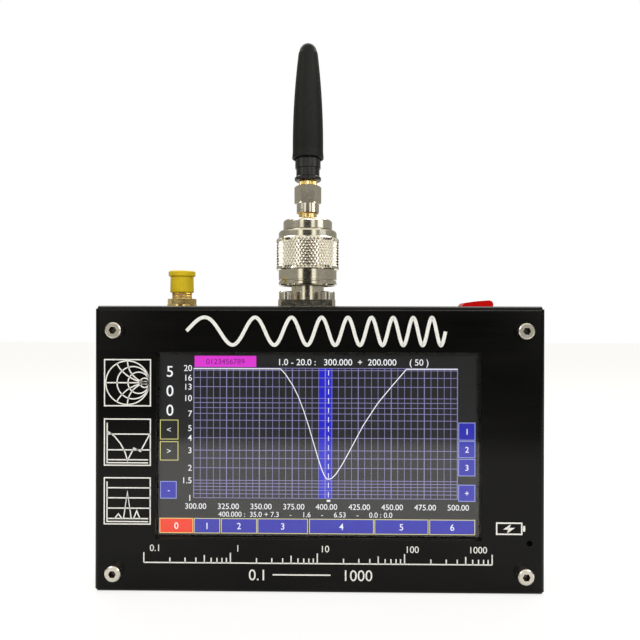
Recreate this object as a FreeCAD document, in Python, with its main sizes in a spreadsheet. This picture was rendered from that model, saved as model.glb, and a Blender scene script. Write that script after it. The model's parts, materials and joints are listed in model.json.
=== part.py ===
import FreeCAD, Part
import math
import os
import Sketcher

# Antenna analyzer with a screen, a flanged coaxial jack and a small threaded coaxial jack.
# Millimetres. X runs to the right as seen from the front, Y to the back, Z up.
# The origin is the middle of the bottom face. Heights of the connectors are above the case top.

SIZES = {
    # Case
    "case_width": 134.0,
    "case_depth": 27.0,
    "case_height": 85.4,
    "sheet_wall": 1.2,
    "bend_radius": 1.6,
    "corner_notch": 0.9,
    "cover_wall": 1.5,
    "cover_corner": 1.0,
    # Openings of the front panel
    "window_side": 18.6,
    "window_height": 55.6,
    "window_lift": 1.2,
    "window_shift": -0.2,
    "lamp_hole": 1.7,
    "lamp_inset": 4.7,
    "lamp_rise": 15.4,
    # Screws and standoffs that hold the case together
    "post_inset": 6.35,
    "post_drop": 7.3,
    "post_rise": 6.3,
    "shank": 2.45,
    "thread_gap": 0.05,
    "hole_gap": 0.2,
    "cap_head": 4.7,
    "cap_head_height": 2.5,
    "cap_key": 2.0,
    "cap_key_depth": 1.3,
    "front_screw_length": 5.0,
    "sunk_head": 4.7,
    "sunk_key": 1.5,
    "sunk_key_depth": 0.8,
    "rear_screw_length": 6.0,
    "post_flats": 5.0,
    "front_post_length": 5.9,
    "stud_length": 3.2,
    "rear_post_thread": 8.0,
    "edge_break": 0.3,
    # Screen, from the front panel backwards
    "gasket_wall": 0.3,
    "gasket_width": 2.5,
    "touch_wall": 1.0,
    "touch_margin": 3.1,
    "touch_height": 62.0,
    "view_lift": 1.07,
    "view_shift": -0.475,
    "display_side": 14.25,
    "display_height": 67.2,
    "display_depth": 3.0,
    "display_skin": 0.4,
    "display_rim": 2.4,
    "glass_wall": 1.2,
    "pad_side": 8.0,
    "ribbon_width": 22.0,
    "ribbon_wall": 0.2,
    "ribbon_loop": 1.1,
    "ribbon_drop": 1.6,
    "socket_height": 1.2,
    "socket_reach": 4.0,
    # Main board and what it carries
    "board_side": 3.0,
    "board_wall": 1.6,
    "board_rise": 3.0,
    "board_top_gap": 4.2,
    "processor_side": 14.0,
    "processor_wall": 1.4,
    "processor_inset": 29.0,
    "processor_z": 55.0,
    "memory_width": 10.0,
    "memory_height": 12.0,
    "memory_wall": 1.2,
    "memory_inset": 29.0,
    "memory_z": 40.0,
    "can_width": 62.0,
    "can_height": 12.0,
    "can_wall": 0.3,
    "can_depth": 3.0,
    "can_x": -24.0,
    "can_drop": 20.4,
    "plug_width": 8.0,
    "plug_height": 6.0,
    "plug_depth": 5.0,
    "plug_inset": 29.0,
    "plug_z": 24.0,
    # Battery
    "battery_width": 70.0,
    "battery_height": 48.0,
    "battery_depth": 6.2,
    "battery_x": -15.0,
    "battery_rise": 8.0,
    "battery_round": 1.5,
    "battery_pad": 0.5,
    "battery_pad_margin": 6.0,
    "lead_wire": 1.2,
    "lead_pitch": 2.5,
    "lead_bend": 2.5,
    # Charger
    "charger_width": 11.6,
    "charger_height": 28.0,
    "charger_rise": 11.0,
    "charger_side_gap": 0.4,
    "usb_length": 7.35,
    "usb_width": 8.94,
    "usb_height": 3.2,
    "usb_wall": 0.3,
    "usb_z": 27.0,
    "usb_inset": 0.4,
    "usb_tongue": 0.7,
    "usb_tongue_width": 6.0,
    "usb_tongue_inset": 0.6,
    "lamp_width": 1.25,
    "lamp_length": 2.0,
    "lamp_wall": 0.8,
    # Small threaded jack on the left
    "small_inset": 23.0,
    "axis_depth": 13.5,
    "small_thread": 6.2,
    "small_bore": 4.1,
    "small_height": 10.3,
    "small_flats": 8.0,
    "small_hex_height": 1.8,
    "small_tail": 5.4,
    "small_tail_depth": 6.0,
    "washer_wall": 0.7,
    "washer_width": 9.2,
    "washer_split": 0.8,
    "panel_nut_height": 1.8,
    "small_contact": 2.0,
    "small_socket": 1.3,
    "small_socket_depth": 5.0,
    "contact_depth": 9.0,
    "core_gap": 0.02,
    "face_gap": 0.3,
    # Dust cap
    "cap_low": 4.5,
    "cap_top": 11.3,
    "cap_width": 7.4,
    "cap_rim": 8.4,
    "cap_rim_height": 1.6,
    "cap_wall": 0.6,
    "cap_taper": 0.1,
    "slide_gap": 0.17,
    # Flanged jack in the middle
    "large_x": -3.85,
    "flange_side": 17.5,
    "flange_wall": 2.1,
    "flange_corner": 1.0,
    "flange_pitch": 12.7,
    "flange_shank": 2.4,
    "flange_head": 4.5,
    "flange_head_height": 2.6,
    "flange_key": 2.0,
    "flange_key_depth": 1.2,
    "flange_screw_length": 6.0,
    "flange_nut_flats": 5.0,
    "flange_nut_height": 2.0,
    "large_neck": 10.3,
    "large_neck_top": 7.5,
    "large_thread": 15.6,
    "large_height": 20.0,
    "large_bore": 8.9,
    "large_floor": 9.0,
    "large_boss": 11.0,
    "large_boss_depth": 3.7,
    "large_core": 7.6,
    "large_core_depth": 5.5,
    "large_contact": 3.0,
    "large_contact_top": 16.5,
    "large_socket": 1.9,
    "large_socket_depth": 6.0,
    "signal_wire": 1.0,
    "signal_bend": 1.5,
    "signal_drop": 2.5,
    # Adapter on the flanged jack
    "nut_low": 6.65,
    "nut_ring": 18.4,
    "nut_grip": 19.8,
    "grip_low": 11.5,
    "grip_top": 21.65,
    "nut_top": 24.0,
    "nut_lip": 3.0,
    "nut_edge": 0.6,
    "turn_gap": 0.15,
    "adapter_sleeve": 8.4,
    "adapter_sleeve_bore": 7.0,
    "adapter_sleeve_low": 9.6,
    "adapter_neck": 11.6,
    "adapter_head": 15.5,
    "adapter_head_low": 24.3,
    "adapter_head_top": 27.4,
    "adapter_head_round": 0.8,
    "neck_gap": 0.2,
    "seal_low": 20.1,
    "seal_wall": 0.8,
    "ring_low": 22.2,
    "ring_wall": 0.7,
    "ring_depth": 0.5,
    "ring_width": 13.2,
    "ring_split": 1.5,
    "ring_gap": 0.1,
    "barrel_seat": 2.0,
    "barrel_rim": 7.7,
    "barrel_rim_height": 0.7,
    "barrel_neck": 5.7,
    "barrel_neck_height": 1.3,
    "barrel_top": 36.2,
    "adapter_core_low": 19.0,
    "adapter_core_step": 22.0,
    "adapter_core_neck": 5.0,
    "adapter_pin": 1.5,
    "adapter_pin_low": 11.5,
    # Antenna
    "spin_low": 29.75,
    "spin_skirt": 7.1,
    "spin_skirt_top": 32.7,
    "spin_flats": 7.4,
    "spin_top": 38.3,
    "spin_lip": 1.4,
    "spin_edge": 0.5,
    "spin_gap": 0.2,
    "spin_ring_depth": 0.2,
    "spin_ring_wall": 0.4,
    "spin_ring_gap": 0.1,
    "ferrule_neck": 4.6,
    "ferrule_head": 5.7,
    "ferrule_rise": 0.15,
    "ferrule_top": 40.0,
    "ferrule_bore": 3.2,
    "antenna_pin": 0.9,
    "antenna_pin_low": 32.2,
    "base_flange": 8.4,
    "base_flange_top": 41.3,
    "base_barrel": 7.4,
    "base_barrel_top": 44.0,
    "base_ring": 8.1,
    "base_ring_top": 47.8,
    "base_spigot": 4.0,
    "base_spigot_top": 52.0,
    "base_pin_depth": 4.0,
    "sheath_low": 47.0,
    "sheath_lip": 10.04,
    "sheath_lip_top": 49.5,
    "sheath_waist": 9.72,
    "sheath_middle": 9.2,
    "sheath_middle_z": 62.4,
    "sheath_shoulder": 6.16,
    "sheath_shoulder_z": 80.6,
    "sheath_tip": 5.5,
    "sheath_tip_start": 18.0,
    "sheath_top": 83.9,
    "sheath_bore": 5.0,
    "sheath_bore_top": 78.0,
    "sheath_mouth": 8.6,
    "former": 2.8,
    "former_top": 77.0,
    "coil_wire": 0.7,
    "coil_pitch": 2.2,
    "coil_turns": 10,
    "coil_low": 53.0,
    # Rocker switch on the right
    "rocker_inset": 17.1,
    "rocker_tilt": 6.0,
    "rocker_arm": 5.8,
    "rocker_proud": 1.85,
    "rocker_facet": 3.6,
    "rocker_fall": 2.0,
    "rocker_half": 4.9,
    "rocker_end_height": 4.3,
    "rocker_foot": 2.0,
    "rocker_foot_half": 3.0,
    "rocker_width": 6.2,
    "rocker_pin": 1.5,
    "rocker_gap": 0.3,
    "switch_wall": 0.8,
    "switch_floor_drop": 3.0,
    "switch_depth": 9.0,
    "terminal_width": 1.5,
    "terminal_wall": 0.6,
    "terminal_pitch": 4.7,
    "terminal_drop": 7.6,
    "terminal_reach": 1.2,
}

UPRIGHT = FreeCAD.Rotation()
FACING_FRONT = FreeCAD.Rotation(FreeCAD.Vector(1, 0, 0), 90)
FACING_BACK = FreeCAD.Rotation(FreeCAD.Vector(1, 0, 0), -90)

doc = FreeCAD.newDocument("antenna_analyzer")
sheet = doc.addObject("Spreadsheet::Sheet", "sizes")
nodes = []


class Size(float):
    """A number that also carries the sheet formula that it is worked out from."""

    def __new__(cls, value, formula):
        size = float.__new__(cls, value)
        size.formula = formula
        return size

    def __add__(self, other):
        return Size(float(self) + float(other), f"({self.formula} + {formula_of(other)})")

    def __radd__(self, other):
        return Size(float(other) + float(self), f"({formula_of(other)} + {self.formula})")

    def __sub__(self, other):
        return Size(float(self) - float(other), f"({self.formula} - {formula_of(other)})")

    def __rsub__(self, other):
        return Size(float(other) - float(self), f"({formula_of(other)} - {self.formula})")

    def __mul__(self, other):
        return Size(float(self) * float(other), f"({self.formula} * {formula_of(other)})")

    def __rmul__(self, other):
        return Size(float(other) * float(self), f"({formula_of(other)} * {self.formula})")

    def __truediv__(self, other):
        return Size(float(self) / float(other), f"({self.formula} / {formula_of(other)})")

    def __neg__(self):
        return Size(-float(self), f"(0 - {self.formula})")


def formula_of(value):
    """The sheet formula of a size, or the plain number."""
    if isinstance(value, Size):
        return value.formula
    return repr(float(value))


def sine(angle):
    return Size(math.sin(math.radians(angle)), f"sin({angle.formula} * 1 deg)")


def cosine(angle):
    return Size(math.cos(math.radians(angle)), f"cos({angle.formula} * 1 deg)")


class Named:
    """Gives each size of the sheet by its alias."""

    def __getattr__(self, alias):
        return Size(SIZES[alias], "sizes." + alias)


s = Named()


def fill_sheet():
    for row, (alias, value) in enumerate(SIZES.items(), 1):
        sheet.set(f"A{row}", alias)
        sheet.set(f"B{row}", str(value))
        sheet.setAlias(f"B{row}", alias)
    doc.recompute()


def bind(item, path, size):
    """Ties one property of an item to the sheet."""
    if isinstance(size, Size):
        item.setExpression(path, size.formula)


def place(item, x=0.0, y=0.0, z=0.0, turn=UPRIGHT):
    item.Placement = FreeCAD.Placement(FreeCAD.Vector(x, y, z), turn)
    bind(item, "Placement.Base.x", x)
    bind(item, "Placement.Base.y", y)
    bind(item, "Placement.Base.z", z)
    return item


def node(item, name):
    """Makes an item a piece of the object, under its own name."""
    item.Label = name
    nodes.append(item)
    return item


# Solids from primitives


def block(name, corner, length, width, height):
    """A block along X, Y and Z from its lowest corner."""
    item = doc.addObject("Part::Box", name)
    for path, size in (("Length", length), ("Width", width), ("Height", height)):
        setattr(item, path, float(size))
        bind(item, path, size)
    return place(item, *corner)


def rod(name, foot, diameter, length, turn=UPRIGHT):
    """A cylinder that starts at its foot and runs along the turned Z."""
    item = doc.addObject("Part::Cylinder", name)
    item.Radius = float(diameter) / 2
    item.Height = float(length)
    bind(item, "Radius", diameter / 2)
    bind(item, "Height", length)
    return place(item, *foot, turn=turn)


def cut(name, base, *tools):
    item = doc.addObject("Part::Cut", name)
    item.Base = base
    item.Tool = tools[0] if len(tools) == 1 else fuse(name + "_tools", *tools)
    return item


def fuse(name, *pieces):
    item = doc.addObject("Part::MultiFuse", name)
    item.Shapes = list(pieces)
    return item


def group(name, pieces):
    """Separate solids that share one node."""
    item = doc.addObject("Part::Compound", name)
    item.Links = list(pieces)
    return item


def rounded(name, base, radius, direction):
    """A block whose edges along one direction are rounded."""
    doc.recompute()
    item = doc.addObject("Part::Fillet", name)
    item.Base = base
    edges = []
    for index, edge in enumerate(base.Shape.Edges, 1):
        if edge.tangentAt(edge.FirstParameter).cross(direction).Length < 1e-6:
            edges.append((index, float(radius), float(radius)))
    item.Edges = edges
    return item


# Bodies from sketches


def new_body(name):
    return doc.addObject("PartDesign::Body", name)


def origin_plane(body, role):
    for feature in body.Origin.OriginFeatures:
        if feature.Role == role:
            return feature
    raise ValueError(role)


def new_sketch(body, role, level=0.0):
    """A sketch on one of the body's own planes, moved along the plane's normal by a level."""
    sketch = body.newObject("Sketcher::SketchObject", body.Name + "_sketch")
    sketch.AttachmentSupport = [(origin_plane(body, role), "")]
    sketch.MapMode = "FlatFace"
    sketch.AttachmentOffset = FreeCAD.Placement(FreeCAD.Vector(0, 0, level), UPRIGHT)
    bind(sketch, "AttachmentOffset.Base.z", level)
    return sketch


def hold_point(sketch, index, end, x, y):
    """Fixes a point of the sketch at two sizes measured from its origin."""
    for kind, axis, size in (("DistanceX", -2, x), ("DistanceY", -1, y)):
        if abs(float(size)) < 1e-9:
            sketch.addConstraint(Sketcher.Constraint("PointOnObject", index, end, axis))
            continue
        row = sketch.addConstraint(Sketcher.Constraint(kind, -1, 1, index, end, float(size)))
        bind(sketch, f"Constraints[{row}]", size)


def add_outline(sketch, start, steps):
    """Adds a closed outline. A step of four sizes is an arc through its first point.

    Each arc is added anticlockwise, whichever way the outline runs.
    """
    corner = start
    first = None
    last = None
    for step in list(steps) + [start]:
        a = FreeCAD.Vector(*corner, 0)
        b = FreeCAD.Vector(*step[-2:], 0)
        if a.distanceToPoint(b) < 1e-9:
            continue
        if len(step) == 4:
            middle = FreeCAD.Vector(*step[:2], 0)
            leftward = (middle - a).cross(b - middle).z > 0
            ends = (a, middle, b) if leftward else (b, middle, a)
            index = sketch.addGeometry(Part.Arc(*ends), False)
            mark = sketch.addGeometry(Part.Point(middle), True)
            hold_point(sketch, mark, 1, *step[:2])
            sketch.addConstraint(Sketcher.Constraint("PointOnObject", mark, 1, index))
        else:
            index = sketch.addGeometry(Part.LineSegment(a, b), False)
        near, far = (1, 2) if sketch.getPoint(index, 1).distanceToPoint(a) < 1e-6 else (2, 1)
        hold_point(sketch, index, near, *corner)
        if last is None:
            first = (index, near)
        else:
            sketch.addConstraint(Sketcher.Constraint("Coincident", *last, index, near))
        last = (index, far)
        corner = step[-2:]
    sketch.addConstraint(Sketcher.Constraint("Coincident", *last, *first))


def add_rectangle(sketch, x, y, width, height):
    """Adds a rectangle from its lowest corner."""
    add_outline(sketch, (x, y), [(x + width, y), (x + width, y + height), (x, y + height)])


def add_circle(sketch, x, y, diameter):
    centre = FreeCAD.Vector(x, y, 0)
    circle = Part.Circle(centre, FreeCAD.Vector(0, 0, 1), float(diameter) / 2)
    index = sketch.addGeometry(circle, False)
    hold_point(sketch, index, 3, x, y)
    row = sketch.addConstraint(Sketcher.Constraint("Diameter", index, float(diameter)))
    bind(sketch, f"Constraints[{row}]", diameter)


def add_hexagon(sketch, flats, x=0.0, y=0.0):
    """Adds a hexagon with two of its flats square to the sketch's Y."""
    corner = flats / math.sqrt(3)
    corners = []
    for turn in range(6):
        angle = math.radians(60 * turn)
        corners.append((x + corner * math.cos(angle), y + corner * math.sin(angle)))
    add_outline(sketch, corners[0], corners[1:])


def pad(body, sketch, length, backwards=False):
    feature = body.newObject("PartDesign::Pad", body.Name + "_pad")
    feature.Profile = sketch
    feature.Length = float(length)
    feature.Reversed = backwards
    bind(feature, "Length", length)
    return feature


def pocket(body, sketch, depth):
    """Cuts against the sketch plane's normal, and makes sure that something is cut."""
    doc.recompute()
    before = body.Shape.Volume
    feature = body.newObject("PartDesign::Pocket", body.Name + "_pocket")
    feature.Profile = sketch
    feature.Length = float(depth)
    bind(feature, "Length", depth)
    doc.recompute()
    if not body.Shape.Volume < before:
        raise RuntimeError(body.Name + ": a pocket cuts nothing")
    return feature


def turned(name, start, steps, x=0.0, y=0.0, z=0.0, turn=UPRIGHT):
    """A body turned about its own Z, from half of its section."""
    body = new_body(name)
    sketch = new_sketch(body, "XZ_Plane")
    add_outline(sketch, start, steps)
    feature = body.newObject("PartDesign::Revolution", name + "_turn")
    feature.Profile = sketch
    feature.ReferenceAxis = (sketch, ["V_Axis"])
    feature.Angle = 360
    return place(body, x, y, z, turn)


def tube(name, bore, outside, low, high, **where):
    """A plain turned ring or bush."""
    steps = [(outside / 2, low), (outside / 2, high), (bore / 2, high)]
    return turned(name, (bore / 2, low), steps, **where)


def wire_along(points, bend, diameter):
    """A round wire along one or more straight runs with a tangent arc at each corner."""
    edges = []
    start = points[0]
    for before, corner, after in zip(points, points[1:], points[2:]):
        back = (before - corner).normalize()
        onward = (after - corner).normalize()
        reach = bend / math.tan(back.getAngle(onward) / 2)
        enter = corner + back * reach
        leave = corner + onward * reach
        inward = (back + onward).normalize()
        centre = corner + inward * math.hypot(bend, reach)
        middle = centre - inward * bend
        edges.append(Part.LineSegment(start, enter).toShape())
        edges.append(Part.Arc(enter, middle, leave).toShape())
        start = leave
    edges.append(Part.LineSegment(start, points[-1]).toShape())
    path = Part.Wire(edges)
    section = Part.Wire(Part.Circle(points[0], points[1] - points[0], diameter / 2).toShape())
    return path.makePipeShell([section], True, True)


def shaped(name, shape):
    """A solid whose form no primitive or body gives, from sizes read in the sheet."""
    item = doc.addObject("Part::Feature", name)
    item.Shape = shape
    return item


fill_sheet()

# Levels that several pieces share

top = s.case_height
front = -s.case_depth / 2
panel_back = front + s.sheet_wall
cover_front = s.case_depth / 2 - s.cover_wall
axis_y = front + s.axis_depth
under_top = top - s.sheet_wall
case_side = s.case_width / 2
inner_half = case_side - s.sheet_wall
middle_z = s.case_height / 2
small_x = s.small_inset - case_side
rocker_x = case_side - s.rocker_inset
processor_x = case_side - s.processor_inset
memory_x = case_side - s.memory_inset
plug_x = case_side - s.plug_inset

board_front = panel_back + s.front_post_length
board_back = board_front + s.board_wall
board_top = top - s.board_top_gap
post_x = case_side - s.post_inset
post_high = top - s.post_drop
posts = [(x, z) for z in (s.post_rise, post_high) for x in (-post_x, post_x)]

touch_front = panel_back + s.gasket_wall
display_front = touch_front + s.touch_wall
display_back = display_front + s.display_depth
window_width = s.case_width - 2 * s.window_side
window_z = middle_z + s.window_lift
display_width = s.case_width - 2 * s.display_side
view_z = middle_z + s.view_lift
display_low = view_z - s.display_height / 2

screw_hole = s.shank + 2 * s.hole_gap
tap_hole = s.shank + 2 * s.thread_gap
lamp_x = case_side - s.lamp_inset
lamp_z = s.lamp_rise


# Case


def make_front_shell():
    """The folded pan: front panel and four flanges, with every opening."""
    body = new_body("front_shell")
    depth = s.case_depth - s.cover_wall
    sketch = new_sketch(body, "XZ_Plane")
    add_rectangle(sketch, -case_side, 0.0, s.case_width, s.case_height)
    blank = pad(body, sketch, depth, backwards=True)
    doc.recompute()
    edges = enumerate(blank.Shape.Edges, 1)
    rim = [f"Edge{index}" for index, edge in edges if edge.BoundBox.YMax < 1e-6]
    bend = body.newObject("PartDesign::Fillet", "front_shell_bend")
    bend.Base = (blank, rim)
    bend.Radius = float(s.bend_radius)
    bind(bend, "Radius", s.bend_radius)
    inner = new_sketch(body, "XZ_Plane", -s.sheet_wall)
    inner_height = s.case_height - 2 * s.sheet_wall
    add_rectangle(inner, -inner_half, s.sheet_wall, 2 * inner_half, inner_height)
    pocket(body, inner, depth)
    notches = new_sketch(body, "XZ_Plane")
    notch = s.corner_notch
    for x in (-case_side - notch, case_side - notch):
        for z in (-notch, top - notch):
            add_rectangle(notches, x, z, 2 * notch, 2 * notch)
    pocket(body, notches, depth)
    face = new_sketch(body, "XZ_Plane")
    window_x = s.window_shift - window_width / 2
    window_low = window_z - s.window_height / 2
    add_rectangle(face, window_x, window_low, window_width, s.window_height)
    for x, z in posts:
        add_circle(face, x, z, screw_hole)
    add_circle(face, lamp_x, lamp_z, s.lamp_hole)
    pocket(body, face, s.sheet_wall)
    roof = new_sketch(body, "XY_Plane", top)
    add_circle(roof, small_x, s.axis_depth, s.small_thread + 2 * s.hole_gap)
    add_circle(roof, s.large_x, s.axis_depth, s.large_boss + 2 * s.hole_gap)
    for x, y in flange_corners():
        add_circle(roof, s.large_x + x, s.axis_depth + y, s.flange_shank + 2 * s.hole_gap)
    slot_width = s.rocker_width + 2 * s.rocker_gap
    slot_y = s.axis_depth - slot_width / 2
    add_rectangle(roof, rocker_x - rocker_sweep, slot_y, 2 * rocker_sweep, slot_width)
    pocket(body, roof, s.sheet_wall)
    side = new_sketch(body, "YZ_Plane", case_side)
    slot_high = s.usb_height + 2 * s.hole_gap
    slot_long = s.usb_width + 2 * s.hole_gap
    slot_y = board_front - s.board_wall - s.usb_height - s.hole_gap - front
    add_rectangle(side, slot_y, s.usb_z - slot_long / 2, slot_high, slot_long)
    pocket(body, side, s.sheet_wall)
    place(body, 0.0, front, 0.0)
    return node(body, "front_shell")


def flange_corners():
    half = s.flange_pitch / 2
    return [(x, y) for x in (-half, half) for y in (-half, half)]


def make_rear_cover():
    body = new_body("cover_plate")
    sketch = new_sketch(body, "XZ_Plane")
    left = -case_side
    right = case_side
    cut_off = s.cover_corner
    add_outline(
        sketch,
        (left + cut_off, 0.0),
        [
            (right - cut_off, 0.0),
            (right, cut_off),
            (right, top - cut_off),
            (right - cut_off, top),
            (left + cut_off, top),
            (left, top - cut_off),
            (left, cut_off),
        ],
    )
    for x, z in posts:
        add_circle(sketch, x, z, screw_hole)
    pad(body, sketch, s.cover_wall, backwards=True)
    place(body, 0.0, cover_front, 0.0)
    sinks = []
    for number, (x, z) in enumerate(posts, 1):
        sink = doc.addObject("Part::Cone", f"cover_sink_{number}")
        sink.Radius1 = float(screw_hole) / 2
        sink.Radius2 = float(s.sunk_head) / 2 + s.hole_gap
        sink.Height = float(s.cover_wall)
        bind(sink, "Radius1", screw_hole / 2)
        bind(sink, "Radius2", s.sunk_head / 2 + s.hole_gap)
        bind(sink, "Height", s.cover_wall)
        sinks.append(place(sink, x, cover_front, z, FACING_BACK))
    return node(cut("cover_bored", body, *sinks), "rear_cover")


def cap_screw(name, shank, length, head, head_height, key, key_depth, **where):
    """A socket-cap screw, its head standing on Z zero."""
    edge = s.edge_break
    body = turned(
        name,
        (0.0, -length),
        [
            (shank / 2 - edge, -length),
            (shank / 2, edge - length),
            (shank / 2, 0.0),
            (head / 2, 0.0),
            (head / 2, head_height - edge),
            (head / 2 - edge, head_height),
            (0.0, head_height),
        ],
        **where,
    )
    sketch = new_sketch(body, "XY_Plane", head_height)
    add_hexagon(sketch, key)
    pocket(body, sketch, key_depth)
    return body


def make_front_screws():
    screws = []
    for number, (x, z) in enumerate(posts, 1):
        screws.append(
            cap_screw(
                f"front_screw_{number}",
                s.shank,
                s.front_screw_length,
                s.cap_head,
                s.cap_head_height,
                s.cap_key,
                s.cap_key_depth,
                x=x,
                y=front,
                z=z,
                turn=FACING_FRONT,
            )
        )
    return node(group("front_screw_set", screws), "front_screws")


def make_rear_screws():
    """Flat-headed screws, flush with the back of the cover."""
    screws = []
    sink = (s.sunk_head - s.shank) / 2
    for number, (x, z) in enumerate(posts, 1):
        body = turned(
            f"rear_screw_{number}",
            (0.0, -s.rear_screw_length),
            [
                (s.shank / 2 - s.edge_break, -s.rear_screw_length),
                (s.shank / 2, s.edge_break - s.rear_screw_length),
                (s.shank / 2, -sink),
                (s.sunk_head / 2, 0.0),
                (0.0, 0.0),
            ],
            x=x,
            y=s.case_depth / 2,
            z=z,
            turn=FACING_BACK,
        )
        sketch = new_sketch(body, "XY_Plane")
        add_hexagon(sketch, s.sunk_key)
        pocket(body, sketch, s.sunk_key_depth)
        screws.append(body)
    return node(group("rear_screw_set", screws), "rear_screws")


def make_front_standoffs():
    """Threaded hexagonal bushes between the front panel and the main board."""
    bushes = []
    for number, (x, z) in enumerate(posts, 1):
        body = new_body(f"front_standoff_{number}")
        sketch = new_sketch(body, "XY_Plane")
        add_hexagon(sketch, s.post_flats)
        add_circle(sketch, 0.0, 0.0, tap_hole)
        pad(body, sketch, s.front_post_length)
        bushes.append(place(body, x, panel_back, z, FACING_BACK))
    return node(group("front_standoff_set", bushes), "front_standoffs")


def make_rear_standoffs():
    """Hexagonal posts whose studs pass the board into the front standoffs."""
    length = cover_front - board_back
    bars = []
    for number, (x, z) in enumerate(posts, 1):
        body = new_body(f"rear_standoff_{number}")
        sketch = new_sketch(body, "XY_Plane")
        add_hexagon(sketch, s.post_flats)
        pad(body, sketch, length)
        stud = new_sketch(body, "XY_Plane")
        add_circle(stud, 0.0, 0.0, s.shank)
        pad(body, stud, s.stud_length, backwards=True)
        thread = new_sketch(body, "XY_Plane", length)
        add_circle(thread, 0.0, 0.0, tap_hole)
        pocket(body, thread, s.rear_post_thread)
        bars.append(place(body, x, board_back, z, FACING_BACK))
    return node(group("rear_standoff_set", bars), "rear_standoffs")


# Screen


def frame_plate(name, width, height, hole_width, hole_height, wall, x, y, z):
    """A flat ring round a rectangular hole, centred on x and z."""
    body = new_body(name)
    sketch = new_sketch(body, "XZ_Plane")
    add_rectangle(sketch, -width / 2, -height / 2, width, height)
    add_rectangle(sketch, -hole_width / 2, -hole_height / 2, hole_width, hole_height)
    pad(body, sketch, wall, backwards=True)
    return place(body, x, y, z)


def make_screen():
    seal = frame_plate(
        "window_seal",
        window_width + 2 * s.gasket_width,
        s.window_height + 2 * s.gasket_width,
        window_width,
        s.window_height,
        s.gasket_wall,
        s.window_shift,
        panel_back,
        window_z,
    )
    node(seal, "window_gasket")
    touch_width = window_width + 2 * s.touch_margin
    touch_corner = (
        s.window_shift - touch_width / 2,
        touch_front,
        window_z - s.touch_height / 2,
    )
    touch = block("touch_glass", touch_corner, touch_width, s.touch_wall, s.touch_height)
    node(touch, "touch_panel")
    rim = s.display_skin
    glass_width = display_width - 2 * rim
    glass_height = s.display_height - 2 * rim
    glass_corner = (s.view_shift - glass_width / 2, display_front, display_low + rim)
    glass = block("cell_glass", glass_corner, glass_width, s.glass_wall, glass_height)
    node(glass, "lcd_glass")
    light_corner = (glass_corner[0], display_front + s.glass_wall, glass_corner[2])
    light_wall = s.display_depth - s.glass_wall - rim
    light = block("light_guide", light_corner, glass_width, light_wall, glass_height)
    node(light, "lcd_backlight")
    tray_corner = (s.view_shift - display_width / 2, display_front, display_low)
    tray = block("tray_outer", tray_corner, display_width, s.display_depth, s.display_height)
    tray_space = block(
        "tray_space", glass_corner, glass_width, s.glass_wall + light_wall, glass_height
    )
    node(cut("display_tray", tray, tray_space), "lcd_frame")
    pads = []
    pad_x = display_width / 2 - s.pad_side
    pad_z = s.display_height / 2 - s.pad_side
    for x in (-pad_x, pad_x - s.pad_side):
        for z in (-pad_z, pad_z - s.pad_side):
            corner = (s.view_shift + x, display_back, view_z + z)
            name = f"foam_pad_{len(pads) + 1}"
            pads.append(block(name, corner, s.pad_side, board_front - display_back, s.pad_side))
    node(group("foam_pads", pads), "lcd_foam_pads")


def make_ribbon():
    """The flat flexible lead that loops from the display's lower edge to the board."""
    body = new_body("ribbon")
    sketch = new_sketch(body, "YZ_Plane")
    outer = s.ribbon_loop + s.ribbon_wall / 2
    inner = s.ribbon_loop - s.ribbon_wall / 2
    low = display_low - s.ribbon_drop
    socket_low = display_low + s.ribbon_drop
    loop_y = board_front - s.socket_height / 2 - s.ribbon_loop
    add_outline(
        sketch,
        (loop_y - outer, display_low),
        [
            (loop_y - outer, low),
            (loop_y, low - outer, loop_y + outer, low),
            (loop_y + outer, socket_low),
            (loop_y + inner, socket_low),
            (loop_y + inner, low),
            (loop_y, low - inner, loop_y - inner, low),
            (loop_y - inner, display_low),
        ],
    )
    pad(body, sketch, s.ribbon_width)
    place(body, s.view_shift - s.ribbon_width / 2, 0.0, 0.0)
    node(body, "lcd_ribbon")
    corner = (
        s.view_shift - s.ribbon_width / 2,
        board_front - s.socket_height,
        socket_low,
    )
    socket = block("ribbon_socket", corner, s.ribbon_width, s.socket_height, s.socket_reach)
    node(socket, "display_connector")


# Main board


def make_main_board():
    body = new_body("circuit_board")
    sketch = new_sketch(body, "XZ_Plane")
    height = board_top - s.board_rise
    width = s.case_width - 2 * s.board_side
    add_rectangle(sketch, -width / 2, s.board_rise, width, height)
    for x, z in posts:
        add_circle(sketch, x, z, screw_hole)
    slot = s.terminal_wall + 2 * s.hole_gap
    slot_width = s.terminal_width + 2 * s.hole_gap
    for x in terminal_places():
        slot_z = terminal_z - slot / 2
        add_rectangle(sketch, x - slot_width / 2, slot_z, slot_width, slot)
    pad(body, sketch, s.board_wall, backwards=True)
    place(body, 0.0, board_front, 0.0)
    return node(body, "main_board")


def on_board(name, x, z, width, depth, height):
    """A block soldered to the back of the board, centred on x and z."""
    corner = (x - width / 2, board_back, z - height / 2)
    return block(name, corner, width, depth, height)


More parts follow.
